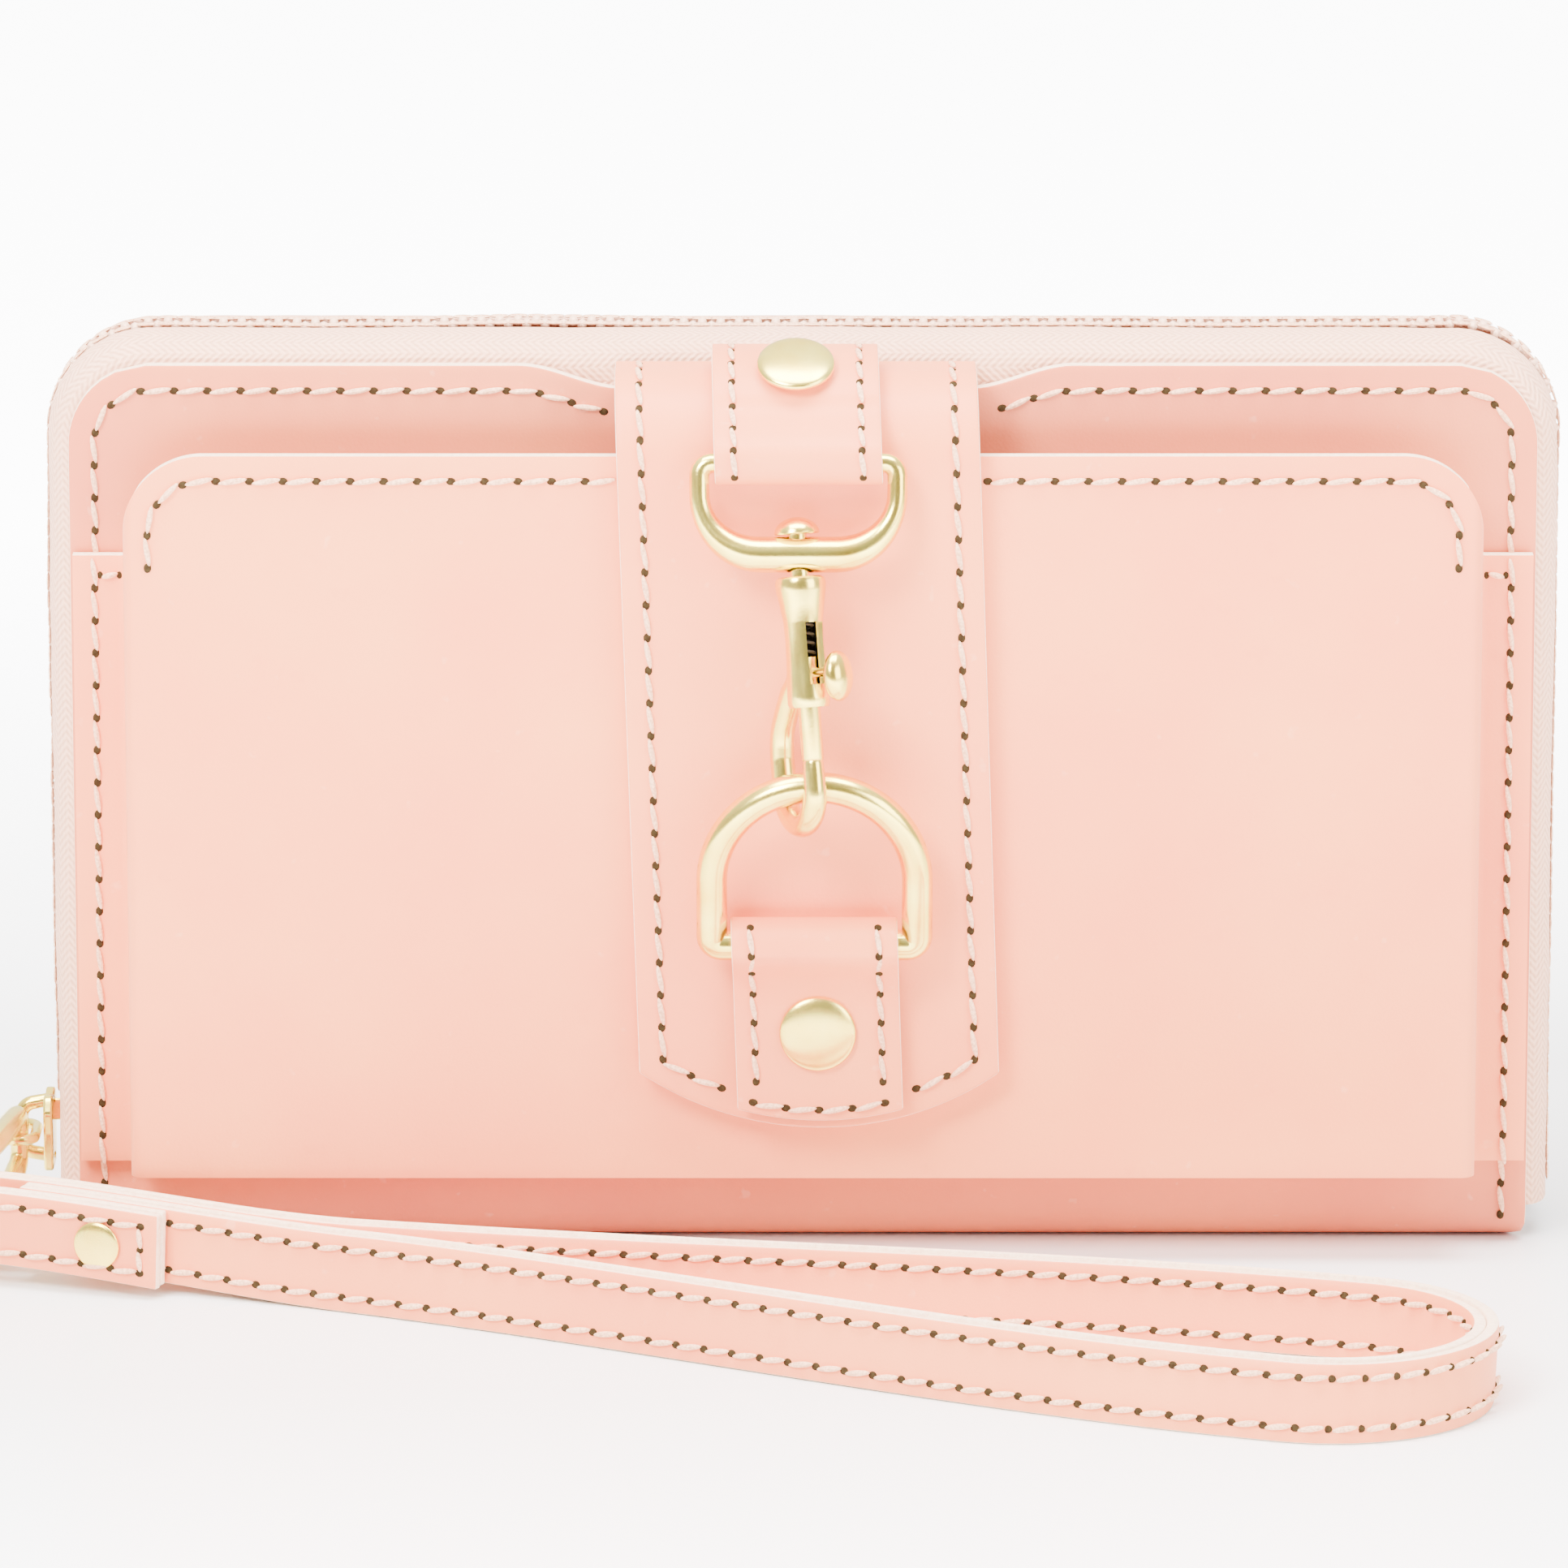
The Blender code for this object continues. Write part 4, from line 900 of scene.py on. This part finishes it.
def makeTeeth(word, body, sign):
    node = f"zip_coil_{word.lower()}"
    pitch = zipper["toothPitch"]
    work = bmesh.new()
    first = slider["foot"] + slider["length"] - zipper["foot"] + 0.6 * mm
    count = int((zipLength - first - 1.2 * mm) / pitch)
    for i in range(count):
        distance = first + pitch * (i + (0.5 if sign > 0 else 0))
        spot, out = zipSpot(distance, zipper["bulge"] - 0.72 * mm + zipWave(distance))
        centre = Vector((spot.x, sign * zipper["toothDepth"], spot.y))
        bead(work, centre, Vector((0, sign, 0)), Vector((out.x, 0, out.y)), zipper["tooth"])
    level = zipper["bulge"] - 0.30 * mm
    for lane in zipper["lanes"]:  # two rows of thread hold the teeth to the tape
        for i in range(count):
            distance = first + pitch * (i + 0.5)
            spot, out = zipSpot(distance, level + zipWave(distance))
            ahead, _ = zipSpot(distance + mm, level)
            behind, _ = zipSpot(distance - mm, level)
            heading = Vector((ahead.x - behind.x, 0, ahead.y - behind.y))
            bead(work, Vector((spot.x, sign * lane, spot.y)), heading, Vector((out.x, 0, out.y)),
                 (pitch * 0.55, 0.34 * mm, 0.20 * mm), 1, 6)
    addPiece(f"zipTeeth{word}", work, body, node, ("coil", "thread"), (node,), 60)


def slab(name, body, slot, outline, place, low, high, look, replaced=(), edgeRound=0.3 * mm):  # soft-edged
    work = bmesh.new()
    lower = [work.verts.new(place @ Vector((x, y, low))) for x, y in outline]
    upper = [work.verts.new(place @ Vector((x, y, high))) for x, y in outline]
    work.faces.new(lower[::-1])
    work.faces.new(upper)
    for i in range(len(outline)):
        j = (i + 1) % len(outline)
        work.faces.new((lower[i], lower[j], upper[j], upper[i]))
    bmesh.ops.recalc_face_normals(work, faces=work.faces)
    piece = addPiece(name, work, body, slot, (look,), replaced, 40)
    softEdges(piece, edgeRound, 40, 3)
    return piece


def smoothTube(name, points, radius, body, slot, closed=True, swell=None, place=None, replaced=(), sides=20,
               look="gold", upward=(0, 1, 0)):
    work = bmesh.new()
    swell = swell or [1.0] * len(points)
    sweepTube(work, points, radius, closed, swell, place or Matrix(), sides, Vector(upward))
    return addPiece(name, work, body, slot, (look,), replaced, 60)


def sweepTube(work, points, radius, closed, swell, place, sides, upward):
    count = len(points)
    rings = []
    turns = [2 * pi * j / sides for j in range(sides)]

    def skin(one, two):
        for j in range(sides):
            k = (j + 1) % sides
            work.faces.new((one[j], one[k], two[k], two[j]))

    for i, point in enumerate(points):
        before = points[(i - 1) % count] if closed else points[max(i - 1, 0)]
        after = points[(i + 1) % count] if closed else points[min(i + 1, count - 1)]
        along = (after - before).normalized()
        side = along.cross(upward).normalized()
        lift = side.cross(along).normalized()
        size = radius * swell[i]
        ring = [point + side * size * cos(turn) + lift * size * sin(turn) for turn in turns]
        rings.append([work.verts.new(place @ spot) for spot in ring])
    for i in range(count if closed else count - 1):
        skin(rings[i], rings[(i + 1) % count])
    for index, sign in () if closed else ((0, -1), (count - 1, 1)):  # rounded ends
        point = points[index]
        along = (point - points[index - sign]).normalized()
        last = rings[index]
        spokes = [place.inverted() @ vert.co - point for vert in last]
        for step in range(1, 4):
            turn = pi / 2 * step / 4
            tip = point + along * radius * swell[index] * sin(turn)
            ring = [work.verts.new(place @ (tip + spoke * cos(turn))) for spoke in spokes]
            skin(last, ring)
            last = ring
        work.faces.new(last)
    bmesh.ops.recalc_face_normals(work, faces=work.faces)


def roundCorners(corners, count=8):  # (x, y, radius) corners of a closed outline
    points = []
    for i, (x, y, radius) in enumerate(corners):
        here = Vector((x, y))
        before = (Vector(corners[i - 1][:2]) - here).normalized()
        after = (Vector(corners[(i + 1) % len(corners)][:2]) - here).normalized()
        if radius <= 0:
            points.append(here)
            continue
        half = acos(before.dot(after)) / 2
        reach = radius / tan(half)
        centre = here + (before + after).normalized() * radius / sin(half)
        start = here + before * reach - centre
        end = here + after * reach - centre
        turn = start.angle_signed(end)
        for j in range(count + 1):
            points.append(centre + Matrix.Rotation(-turn * j / count, 2) @ start)
    return points


def upright(points):
    return [Vector((x, 0, z)) for x, z in points]


def makeSlider():
    face = Matrix(((0, 0, 1, 0), (1, 0, 0, 0), (0, 1, 0, 0), (0, 0, 0, 1)))  # outline in YZ, thickness along X
    half = slider["width"] / 2
    foot, top = slider["foot"], slider["foot"] + slider["length"]
    right = [
        (half * 0.78, foot, 0.8 * mm), (half * 0.82, sliderMiddle, 2 * mm), (half, top - 2.2 * mm, 1.2 * mm),
        (half * 0.62, top, 1.4 * mm),
    ]
    left = [(-y, z, radius) for y, z, radius in reversed(right)]
    shape = roundCorners([*right, (0, top - 0.9 * mm, 0.5 * mm), *left], 5)
    outer, inner = zipX - slider["apart"], zipX + slider["apart"]
    plate = slider["plate"]
    slab("sliderOuter", "slider", "zip_slider", shape, face, outer - plate, outer, "gold", ("zip_slider",))
    slab("sliderInner", "slider", "zip_slider", shape, face, inner, inner + plate, "gold")
    y, low, high = slider["bridge"], top - 4 * mm, top - 1.2 * mm
    bridge = [(-y, low), (y, low), (y, high), (-y, high)]
    into = 0.3 * mm
    slab("sliderBridge", "slider", "zip_slider", bridge, face, outer - into, inner + into, "gold", (), 0.2 * mm)
    base = outer - plate * 0.6
    reach = slider["crown"]
    arch = roundCorners([
        (base, sliderMiddle - reach, 0), (crownX, sliderMiddle - reach + 0.6 * mm, 1.8 * mm),
        (crownX, sliderMiddle + reach - 0.6 * mm, 1.8 * mm), (base, sliderMiddle + reach, 0),
    ], 10)
    smoothTube("sliderCrown", upright(arch), slider["wire"], "slider", "zip_slider", False, sides=14)


makeTape("Front", "front_half", -1)
makeTape("Back", "back_half", 1)
makeTeeth("Front", "front_half", -1)
makeTeeth("Back", "back_half", 1)
makeSlider()
print("zip ready")


# swivel hook and ring

hardware = {
    "ringWire": 1.9 * mm, "ringRise": 8.7 * mm, "ringTilt": radians(12), "ringBar": 42.7 * mm,
    "eyeWire": 1.1 * mm, "eyeHalf": 12.1 * mm, "eyeBar": 103 * mm, "eyeDrop": 11.2 * mm,
    "barrelTop": 13.9 * mm, "barrel": 16 * mm, "arm": 1.5 * mm, "armOffset": 8.8 * mm,
    "hookTurn": radians(25), "knobTurn": radians(-35), "post": 1.2 * mm, "swing": radians(12.867),
    "reach": 39.59 * mm, "bore": 1.6 * mm, "bolt": 1.35 * mm, "knobAt": 0.74, "postHead": 2.8 * mm,
    "postDome": 2.1 * mm, "pullLength": 23.5 * mm,
}
ringHalf = tab["chapeWidth"] / 2 + 2.4 * mm
ringSpot = Vector(joints["ring_swing"]["pos_m"])
eyeSpot = Vector(joints["eye_swing"]["pos_m"])
ringPlace = Matrix.Translation(ringSpot) @ Matrix.Rotation(hardware["ringTilt"], 4, "X")
eyePlace = Matrix.Translation(eyeSpot) @ Matrix.Rotation(-hardware["swing"], 4, "X")
eyeFoot = Matrix.Translation((0, 0, -hardware["eyeDrop"]))
sideways = leanAt(hardware["ringBar"]) - leanAt(hardware["eyeBar"])
hookLean = Matrix.Rotation(-atan2(sideways, hardware["reach"] - hardware["eyeDrop"]), 4, "Y")
hookPlace = eyePlace @ eyeFoot @ hookLean @ eyeFoot.inverted()


def makeRing():
    rise = hardware["ringRise"]
    corner = 1.2 * mm
    outline = roundCorners([
        (ringHalf, rise, 0), (ringHalf, 0, corner), (-ringHalf, 0, corner), (-ringHalf, rise, 0),
    ], 6)
    sides = [Vector((ringHalf, rise * (1 - i / 5))) for i in range(1, 5)]
    left = [Vector((-spot.x, spot.y)) for spot in reversed(sides)]
    path = sides + outline[1:-1] + left + arcPoints((0, rise), ringHalf, pi, 0, 44)
    smoothTube("dRing", upright(path), hardware["ringWire"], "ring", "d_ring", place=ringPlace,
               replaced=("d_ring",), sides=28)


def makeEye():
    half, drop = hardware["eyeHalf"], hardware["eyeDrop"]
    shoulder = half - tab["chapeWidth"] / 2 - tab["gap"]
    lower = 7.5 * mm
    outline = roundCorners([
        (half, 0, shoulder), (-half, 0, shoulder), (-half, -drop, lower), (half, -drop, lower),
    ], 14)
    route = Route(outline, True)
    points = [route.at(route.length * i / 120) for i in range(120)]
    swell = [1.12 + 0.88 * max(0, min(1, (-spot.y / drop - 0.35) / 0.65)) ** 2 for spot in points]
    smoothTube("swivelEye", upright(points), hardware["eyeWire"], "eye", "swivel_eye", True, swell, eyePlace,
               ("swivel_eye",), 24)


def makeBarrel():
    top = -hardware["barrelTop"]
    shape = [  # radius and depth below the top
        (2.6, 0), (3.0, 0.25), (3.15, 0.8), (3.05, 1.8), (2.75, 3.4), (2.45, 5.4), (2.36, 7.6), (2.4, 10),
        (2.5, 12.5), (2.6, 14.6), (2.6, 15.5), (2.4, 16),
    ]
    knob = hardware["barrel"] * hardware["knobAt"] / mm
    slotEnds = (knob - 6.2, knob + 1.4)
    levels = sorted({depth for _, depth in shape} | set(slotEnds))
    slot = [levels.index(depth) for depth in slotEnds]
    steps = 48
    work = bmesh.new()

    def radiusAt(depth):
        for (r0, d0), (r1, d1) in zip(shape, shape[1:]):
            if depth <= d1:
                return (r0 + (r1 - r0) * (depth - d0) / (d1 - d0)) * mm
        return shape[-1][0] * mm

    outer, inner = {}, {}
    for j, depth in enumerate(levels):
        for i in range(steps):
            turn = hardware["knobTurn"] + 2 * pi * (i + 0.5) / steps
            for store, radius in ((outer, radiusAt(depth)), (inner, hardware["bore"])):
                store[i, j] = work.verts.new((radius * cos(turn), radius * sin(turn), top - depth * mm))
    filled = {(i, j) for i in range(steps) for j in range(len(levels) - 1)
              if not (slot[0] <= j < slot[1] and (i < 2 or i >= steps - 7))}
    for i, j in filled:
        k = (i + 1) % steps
        work.faces.new((outer[i, j], outer[i, j + 1], outer[k, j + 1], outer[k, j]))
        work.faces.new((inner[k, j], inner[k, j + 1], inner[i, j + 1], inner[i, j])).material_index = 1
        if ((i - 1) % steps, j) not in filled:
            work.faces.new((outer[i, j + 1], outer[i, j], inner[i, j], inner[i, j + 1]))
        if (k, j) not in filled:
            work.faces.new((outer[k, j], outer[k, j + 1], inner[k, j + 1], inner[k, j]))
        if (i, j - 1) not in filled:
            work.faces.new((outer[i, j], outer[k, j], inner[k, j], inner[i, j]))
        if (i, j + 1) not in filled:
            work.faces.new((outer[k, j + 1], outer[i, j + 1], inner[i, j + 1], inner[k, j + 1]))
    for vert in [vert for vert in work.verts if not vert.link_faces]:
        work.verts.remove(vert)
    bmesh.ops.transform(work, matrix=hookPlace, verts=work.verts)
    bmesh.ops.recalc_face_normals(work, faces=work.faces)
    # the inner bore faces take the near-black bore finish: painted shade
    addPiece("hookBarrel", work, "hook", "hook_body", ("gold", "bore"), ("hook_body",), 40)


def makeArm():
    foot = -hardware["barrelTop"] - hardware["barrel"]
    offset, thick = hardware["armOffset"], hardware["arm"]
    bend = offset / 2
    drop = -(hardware["reach"] + hardware["ringWire"] + 1.2 * mm + thick - bend)
    arm = [
        (2.9 * mm, foot + 5.2 * mm), (3.3 * mm, foot + 3.2 * mm), (offset * 0.6, foot + 1.2 * mm),
        (offset * 0.92, foot - 2.5 * mm), (offset, foot - 5.5 * mm), (offset, (foot + drop) / 2 - 2 * mm),
    ]
    arm = smoothPath([Vector(spot) for spot in arm], 6)[:-1] + arcPoints((bend, drop), bend, 0, -pi, 24)
    arm += [Vector((0, drop + (-36.8 * mm - drop) * i / 3)) for i in (1, 2, 3)]
    swell = [min(1.0, 0.72 + 0.28 * i / 10) for i in range(len(arm))]
    for i in range(8):
        swell[-1 - i] *= 0.86 + 0.14 * i / 7
    turn = hookPlace @ Matrix.Rotation(hardware["hookTurn"] + pi / 2, 4, "Z")
    smoothTube("hookArm", upright(arm), thick, "hook", "hook_body", False, swell, turn)


def makeBolt():
    top, foot = -23.8 * mm, -36.5 * mm
    radius = hardware["bolt"]
    work = bmesh.new()
    profile = [
        (0, top), (radius, top), (radius, foot + 0.35 * mm), (radius - 0.1 * mm, foot + 0.1 * mm),
        (radius - 0.35 * mm, foot), (0, foot),
    ]
    turned(work, profile, hookPlace, 40)
    level = Matrix.Translation((0, 0, -hardware["barrelTop"] - hardware["barrel"] * hardware["knobAt"]))
    knob = hookPlace @ Matrix.Rotation(hardware["knobTurn"], 4, "Z") @ level
    stem = knob @ Matrix.Rotation(pi / 2, 4, "Y")
    turned(work, [(0, 0), (0.6 * mm, 0), (0.6 * mm, 3.2 * mm), (1.2 * mm, 4.2 * mm), (0, 4.3 * mm)], stem, 24)
    size = Matrix.Diagonal((1.5 * mm, 2.4 * mm, 3.1 * mm, 1))
    head = knob @ Matrix.Translation((4.6 * mm, 0, -0.6 * mm)) @ size
    bmesh.ops.create_uvsphere(work, u_segments=28, v_segments=18, radius=1, matrix=head)
    addPiece("snapBolt", work, "bolt", "snap_bolt", ("gold",), ("snap_bolt",), 50)


def makePost():
    rim = -hardware["eyeDrop"] + hardware["eyeWire"] * 2 + 0.3 * mm
    foot = -hardware["barrelTop"] - 2.2 * mm
    post = hardware["post"]
    wide, dome = hardware["postHead"], hardware["postDome"]
    head = [(wide * sin(turn), rim + dome * cos(turn)) for turn in (pi / 2 * i / 12 for i in range(1, 12))]
    lip = 0.15 * mm
    profile = [
        (0, rim + dome), *head, (wide, rim + lip), (wide - lip, rim), (post, rim), (post, foot), (0, foot),
    ]
    work = bmesh.new()
    turned(work, profile, hookPlace, 48)
    addPiece("swivelPost", work, "hook", "swivel_post", ("gold",), ("swivel_post",), 50)


def makeSpring():
    start, end, coils, radius = -16.6 * mm, -23.3 * mm, 6, 1.1 * mm
    points = []
    for i in range(121):
        turn = 2 * pi * coils * i / 120
        points.append(Vector((radius * cos(turn), radius * sin(turn), start + (end - start) * i / 120)))
    # the spring takes the near-black bore finish: painted shade inside the barrel
    spring = smoothTube("boltSpring", points, 0.2 * mm, "hook", "bolt_spring", False, None, hookPlace,
                        ("bolt_spring",), 8, "bore")
    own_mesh(spring)


def makeLink():
    wide, far = 2.0 * mm, 6.8 * mm
    path = arcPoints((0, 0), wide, 0, pi, 14) + arcPoints((0, wide - far), wide, pi, 2 * pi, 14)
    points = [Vector((crownX + spot.x, spot.y, sliderMiddle)) for spot in path]
    smoothTube("pullLink", points, 0.7 * mm, "link", "pull_link", replaced=("pull_link",), sides=14,
               upward=(0, 0, 1))


def makePull():
    place = Matrix.Translation((crownX, -4.6 * mm, 0)) @ Matrix.Rotation(radians(-99), 4, "Z")
    length = hardware["pullLength"]
    swollen = 19 * mm
    low, narrow = 1.25 * mm, 0.8 * mm
    route = Route(roundCorners([
        (0, 8.4 * mm, 1.5 * mm), (17.5 * mm, low, 3 * mm), (length, low, narrow), (length, 13.45 * mm, narrow),
        (0, 14.6 * mm, 1.5 * mm),
    ], 8), True)
    outline = [route.at(route.length * i / 110) for i in range(110)]
    swell = [1 + 0.4 * sin(pi * spot.x / swollen) ** 0.5 if 0 < spot.x < swollen else 1 for spot in outline]
    smoothTube("pullRing", upright(outline), 1.1 * mm, "pull", "pull_ring", True, swell, place, ("pull_ring",),
               18)
    return place


strapBar = makePull() @ Vector((hardware["pullLength"], 0, 0))
makeRing()
makeEye()
makeBarrel()
makeArm()
makeBolt()
makePost()
makeSpring()
makeLink()
print("hardware ready")


# wrist strap

strap = {
    "height": 9.2 * mm, "thick": 3.0 * mm, "fold": 3.4 * mm, "joined": 26 * mm, "reach": 193 * mm,
    "loop": 18.5 * mm, "slope": radians(19), "lift": 2.75 * mm, "liftEnd": 50 * mm, "tilt": radians(12),
    "tiltEnd": 60 * mm, "seam": 1.7 * mm, "pitch": 3.9 * mm, "cutSeam": 2.2 * mm, "cutPitch": 2.9 * mm,
    "rivetAt": 18.2 * mm, "rivet": 3 * mm,
}
strapPlace = Matrix.Translation(strapBar) @ Matrix.Rotation(-strap["slope"], 4, "Z")


def strapLine():  # in plan: cut end, round the bar, far run, loop, near run
    fold, loop = strap["fold"], strap["loop"]
    centre = strap["reach"] - loop
    split = strap["joined"] + 4 * mm
    points = [Vector((strap["joined"] * (1 - i / 8), -fold)) for i in range(8)]
    points += arcPoints((0, 0), fold, -pi / 2, -3 * pi / 2, 22)
    runs = 60
    for i in range(1, runs):
        along = centre * i / runs
        points.append(Vector((along, fold + (loop - fold) * eased((along - split) / (centre - split)))))
    points += arcPoints((centre, 0), loop, pi / 2, -pi / 2, 36)
    start = fold + strap["thick"]
    for i in range(1, runs + 1):
        along = centre + (start - centre) * i / runs
        points.append(Vector((along, -loop * eased((along - split) / (centre - split)))))
    return Route(points)


strapPath = strapLine()


def strapAcross(distance):  # in plan, across the strap's thickness
    heading = strapPath.heading(min(max(distance, 0.5 * mm), strapPath.length - 0.5 * mm), 0.8 * mm)
    return Vector((-heading.y, heading.x))


def strapTilt(along):
    return eased(along / strap["tiltEnd"]) * tan(strap["tilt"])


def strapSpot(distance, height, side):
    spot = strapPath.at(distance) + strapAcross(distance) * side
    lift = strap["lift"] * (1 - eased(spot.x / strap["liftEnd"]))
    return strapPlace @ Vector((spot.x, spot.y + strapTilt(spot.x) * height, height + lift))


def strapNormal(distance, side):
    across = strapAcross(distance).to_3d() * (1 if side > 0 else -1)
    across.z = -across.y * strapTilt(strapPath.at(distance).x)
    return (strapPlace.to_3x3() @ across).normalized()


def makeStrap():
    half = strap["thick"] / 2
    skin = half + threadSizes["lift"]
    for name, side in (("strapOuter", half), ("strapInner", -half)):
        def place(u, v, side=side):
            return strapSpot(strapPath.length * u, strap["height"] * v, side)

        cutSheet(name, "strap", "wrist_strap", (460, 8), place, half - 0.04 * mm, (0, side, 0),
                 replaced=("wrist_strap",) if side > 0 else (), edgeRound=0.2 * mm)
    work = bmesh.new()
    first, last = strap["cutSeam"], strapPath.length - 16 * mm
    low, high = strap["seam"], strap["height"] - strap["seam"]
    for side in (skin, -skin):
        for height in (low, high):
            points = [strapSpot(first + (last - first) * i / 500, height, side) for i in range(501)]
            sewLine(work, Route(points), lambda spot, distance: strapNormal(first + distance, side),
                    strap["pitch"])
    points = [strapSpot(first, low + (high - low) * i / 4, skin) for i in range(5)]  # across the cut end
    sewLine(work, Route(points), lambda spot, distance: strapNormal(first, half), strap["cutPitch"])
    addPiece("strapSeams", work, "strap", "wrist_strap", ("thread", "hole"))
    height, along = strap["height"] / 2, strap["rivetAt"]
    tilt = atan2(strapTilt(along), 1)
    lift = strap["lift"] * (1 - eased(along / strap["liftEnd"]))
    middle = Matrix.Translation((along, height * tan(tilt), height + lift))
    seat = strap["fold"] + half + 0.08 * mm
    shank, back = 1.2 * mm, 2.55 * mm
    profile = rivetProfile(strap["rivet"], seat, 0.95 * mm) + [
        (shank, seat), (shank, -seat), (back, -seat), (back - 0.15 * mm, -seat - 0.4 * mm),
        (0, -seat - 0.5 * mm),
    ]
    work = bmesh.new()
    turned(work, profile, strapPlace @ middle @ Matrix.Rotation(pi / 2 + tilt, 4, "X"), 56)
    addPiece("strapRivet", work, "strap", "strap_rivet", ("rivetGold",), ("strap_rivet",), 30)


makeStrap()
print("strap ready")


# inside

inside = {"leaf": 0.6 * mm, "round": 9.7 * mm, "leafRound": 3 * mm, "corner": 1 * mm, "slit": 0.2 * mm}
frontal = Matrix(((1, 0, 0, 0), (0, 0, 1, 0), (0, 1, 0, 0), (0, 0, 0, 1)))  # outline in XZ, thickness along Y


def leafPiece(name, node, body, radius):
    low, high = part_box(node)
    corner = inside["corner"]
    outline = roundCorners([
        (high.x, low.z, corner), (high.x, high.z, radius), (low.x, high.z, radius), (low.x, low.z, corner),
    ], 10)
    slab(name, body, node, outline, frontal, low.y, high.y, "lining", (node,), 0.2 * mm)


def makeInside():
    for word in ("front", "back"):
        leafPiece(f"{word}Lining", f"{word}_lining", f"{word}_half", inside["round"])
    for word in ("front", "back"):
        for number in (1, 2):
            node = f"{word}_card_pocket_{number}"
            leafPiece(f"{word}Leaf{number}", node, f"{word}_half", inside["leafRound"])
    low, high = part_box("divider_pouch")
    corner, slit = inside["corner"], inside["slit"]
    corners = [(high.x, low.y), (high.x, high.y), (low.x, high.y), (low.x, low.y)]
    around = roundCorners([(x, y, corner) for x, y in corners], 6)
    plan = Route([Vector((slit, low.y)), *around, Vector((-slit, low.y))])

    def place(u, v):
        spot = plan.at(plan.length * u)
        return Vector((spot.x, spot.y, low.z + (high.z - low.z) * v))

    cutSheet("dividerPouch", "front_half", "divider_pouch", (240, 20), place, inside["leaf"], (0, -1, 0),
             ("lining",), ("divider_pouch",), edgeRound=0.15 * mm)
    low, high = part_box("magnet_socket")
    work = bmesh.new()
    turned(work, disc((high.x - low.x) / 2, (high.y - low.y) / 2),
           Matrix.Translation((low + high) / 2) @ Matrix.Rotation(pi / 2, 4, "X"), 48)
    addPiece("magnetSocket", work, "front_half", "magnet_socket", ("steel",), ("magnet_socket",))


makeInside()
print("inside ready")


# camera, floor and light

view = {
    "target": (-2.35 * mm, 0, 56.1 * mm), "distance": 1.3, "elevation": radians(12.5), "lens": 236.9,
    "floor": 3.0, "behind": 0.25, "ahead": 2.2, "below": 0.2, "above": 1.9, "glow": 9.0,
    "glowStart": 0.08, "glowFull": 0.45, "aim": (0, 0, 0.05),
}


def makeFloor():
    work = bmesh.new()
    bmesh.ops.create_grid(work, x_segments=2, y_segments=2, size=view["floor"])
    for vert in work.verts:
        vert.co.z = -0.2 * mm
    mesh = bpy.data.meshes.new("floor")
    work.to_mesh(mesh)
    work.free()
    floor = bpy.data.objects.new("floor", mesh)
    bpy.context.scene.collection.objects.link(floor)
    made = Finish("whiteFloor", roughness=0.25, bumpDepth=0.0001)
    haze = made.noise(3, 2, 0.5)
    colour = made.blend(haze, (0.90, 0.90, 0.90), (0.93, 0.93, 0.93))
    mesh.materials.append(made.wear(colour, 0.22 + haze * 0.1))
    _, depth, _ = made.axes()
    away = made.ramp(depth.maths("ABSOLUTE"), view["glowStart"], view["glowFull"])
    glow = made.blend(away, (0, 0, 0), (1, 1, 1))
    made.tree.links.new(glow.link, made.shader.inputs["Emission Color"])
    made.shader.inputs["Emission Strength"].default_value = view["glow"]


def makeLight(name, place, power, size):
    lamp = bpy.data.lights.new(name, "AREA")
    lamp.shape = "RECTANGLE"
    lamp.energy = power
    lamp.size, lamp.size_y = size
    made = bpy.data.objects.new(name, lamp)
    aim = (Vector(view["aim"]) - Vector(place)).to_track_quat("-Z", "Y")
    made.matrix_world = Matrix.Translation(place) @ aim.to_matrix().to_4x4()
    bpy.context.scene.collection.objects.link(made)


def makeView():
    lens = bpy.data.cameras.new("view")
    lens.lens = view["lens"]
    lens.sensor_width = 36
    lens.clip_start = 0.01
    lens.dof.use_dof = False
    camera = bpy.data.objects.new("view", lens)
    away = Vector((0, -cos(view["elevation"]), sin(view["elevation"]))) * view["distance"]
    camera.location = Vector(view["target"]) + away
    camera.rotation_euler = (pi / 2 - view["elevation"], 0, 0)
    bpy.context.scene.collection.objects.link(camera)
    bpy.context.scene.camera = camera
    world = bpy.data.worlds.new("whiteRoom")
    world.use_nodes = True
    nodes, links = world.node_tree.nodes, world.node_tree.links
    parts = nodes.new("ShaderNodeSeparateXYZ")
    links.new(nodes.new("ShaderNodeTexCoord").outputs["Generated"], parts.inputs[0])
    for source, low, high in (("Y", view["behind"], view["ahead"]), ("Z", view["below"], view["above"])):
        shade = nodes.new("ShaderNodeMapRange")
        links.new(parts.outputs[source], shade.inputs["Value"])
        shade.inputs["From Min"].default_value = -1
        shade.inputs["To Min"].default_value = low
        shade.inputs["To Max"].default_value = high
        shade.name = "shade" + source
    glow = nodes.new("ShaderNodeMath")
    glow.operation = "MULTIPLY"
    links.new(nodes["shadeY"].outputs["Result"], glow.inputs[0])
    links.new(nodes["shadeZ"].outputs["Result"], glow.inputs[1])
    links.new(glow.outputs[0], nodes["Background"].inputs["Strength"])
    nodes["Background"].inputs["Color"].default_value = (1, 1, 1, 1)
    bpy.context.scene.world = world


makeFloor()
makeLight("key", (-0.45, -0.7, 0.75), 30, (0.35, 0.35))
makeLight("fill", (0.7, -0.6, 0.4), 10, (0.5, 0.5))
makeLight("top", (0, -0.15, 0.9), 36, (0.9, 0.4))
makeView()
print("stage ready")
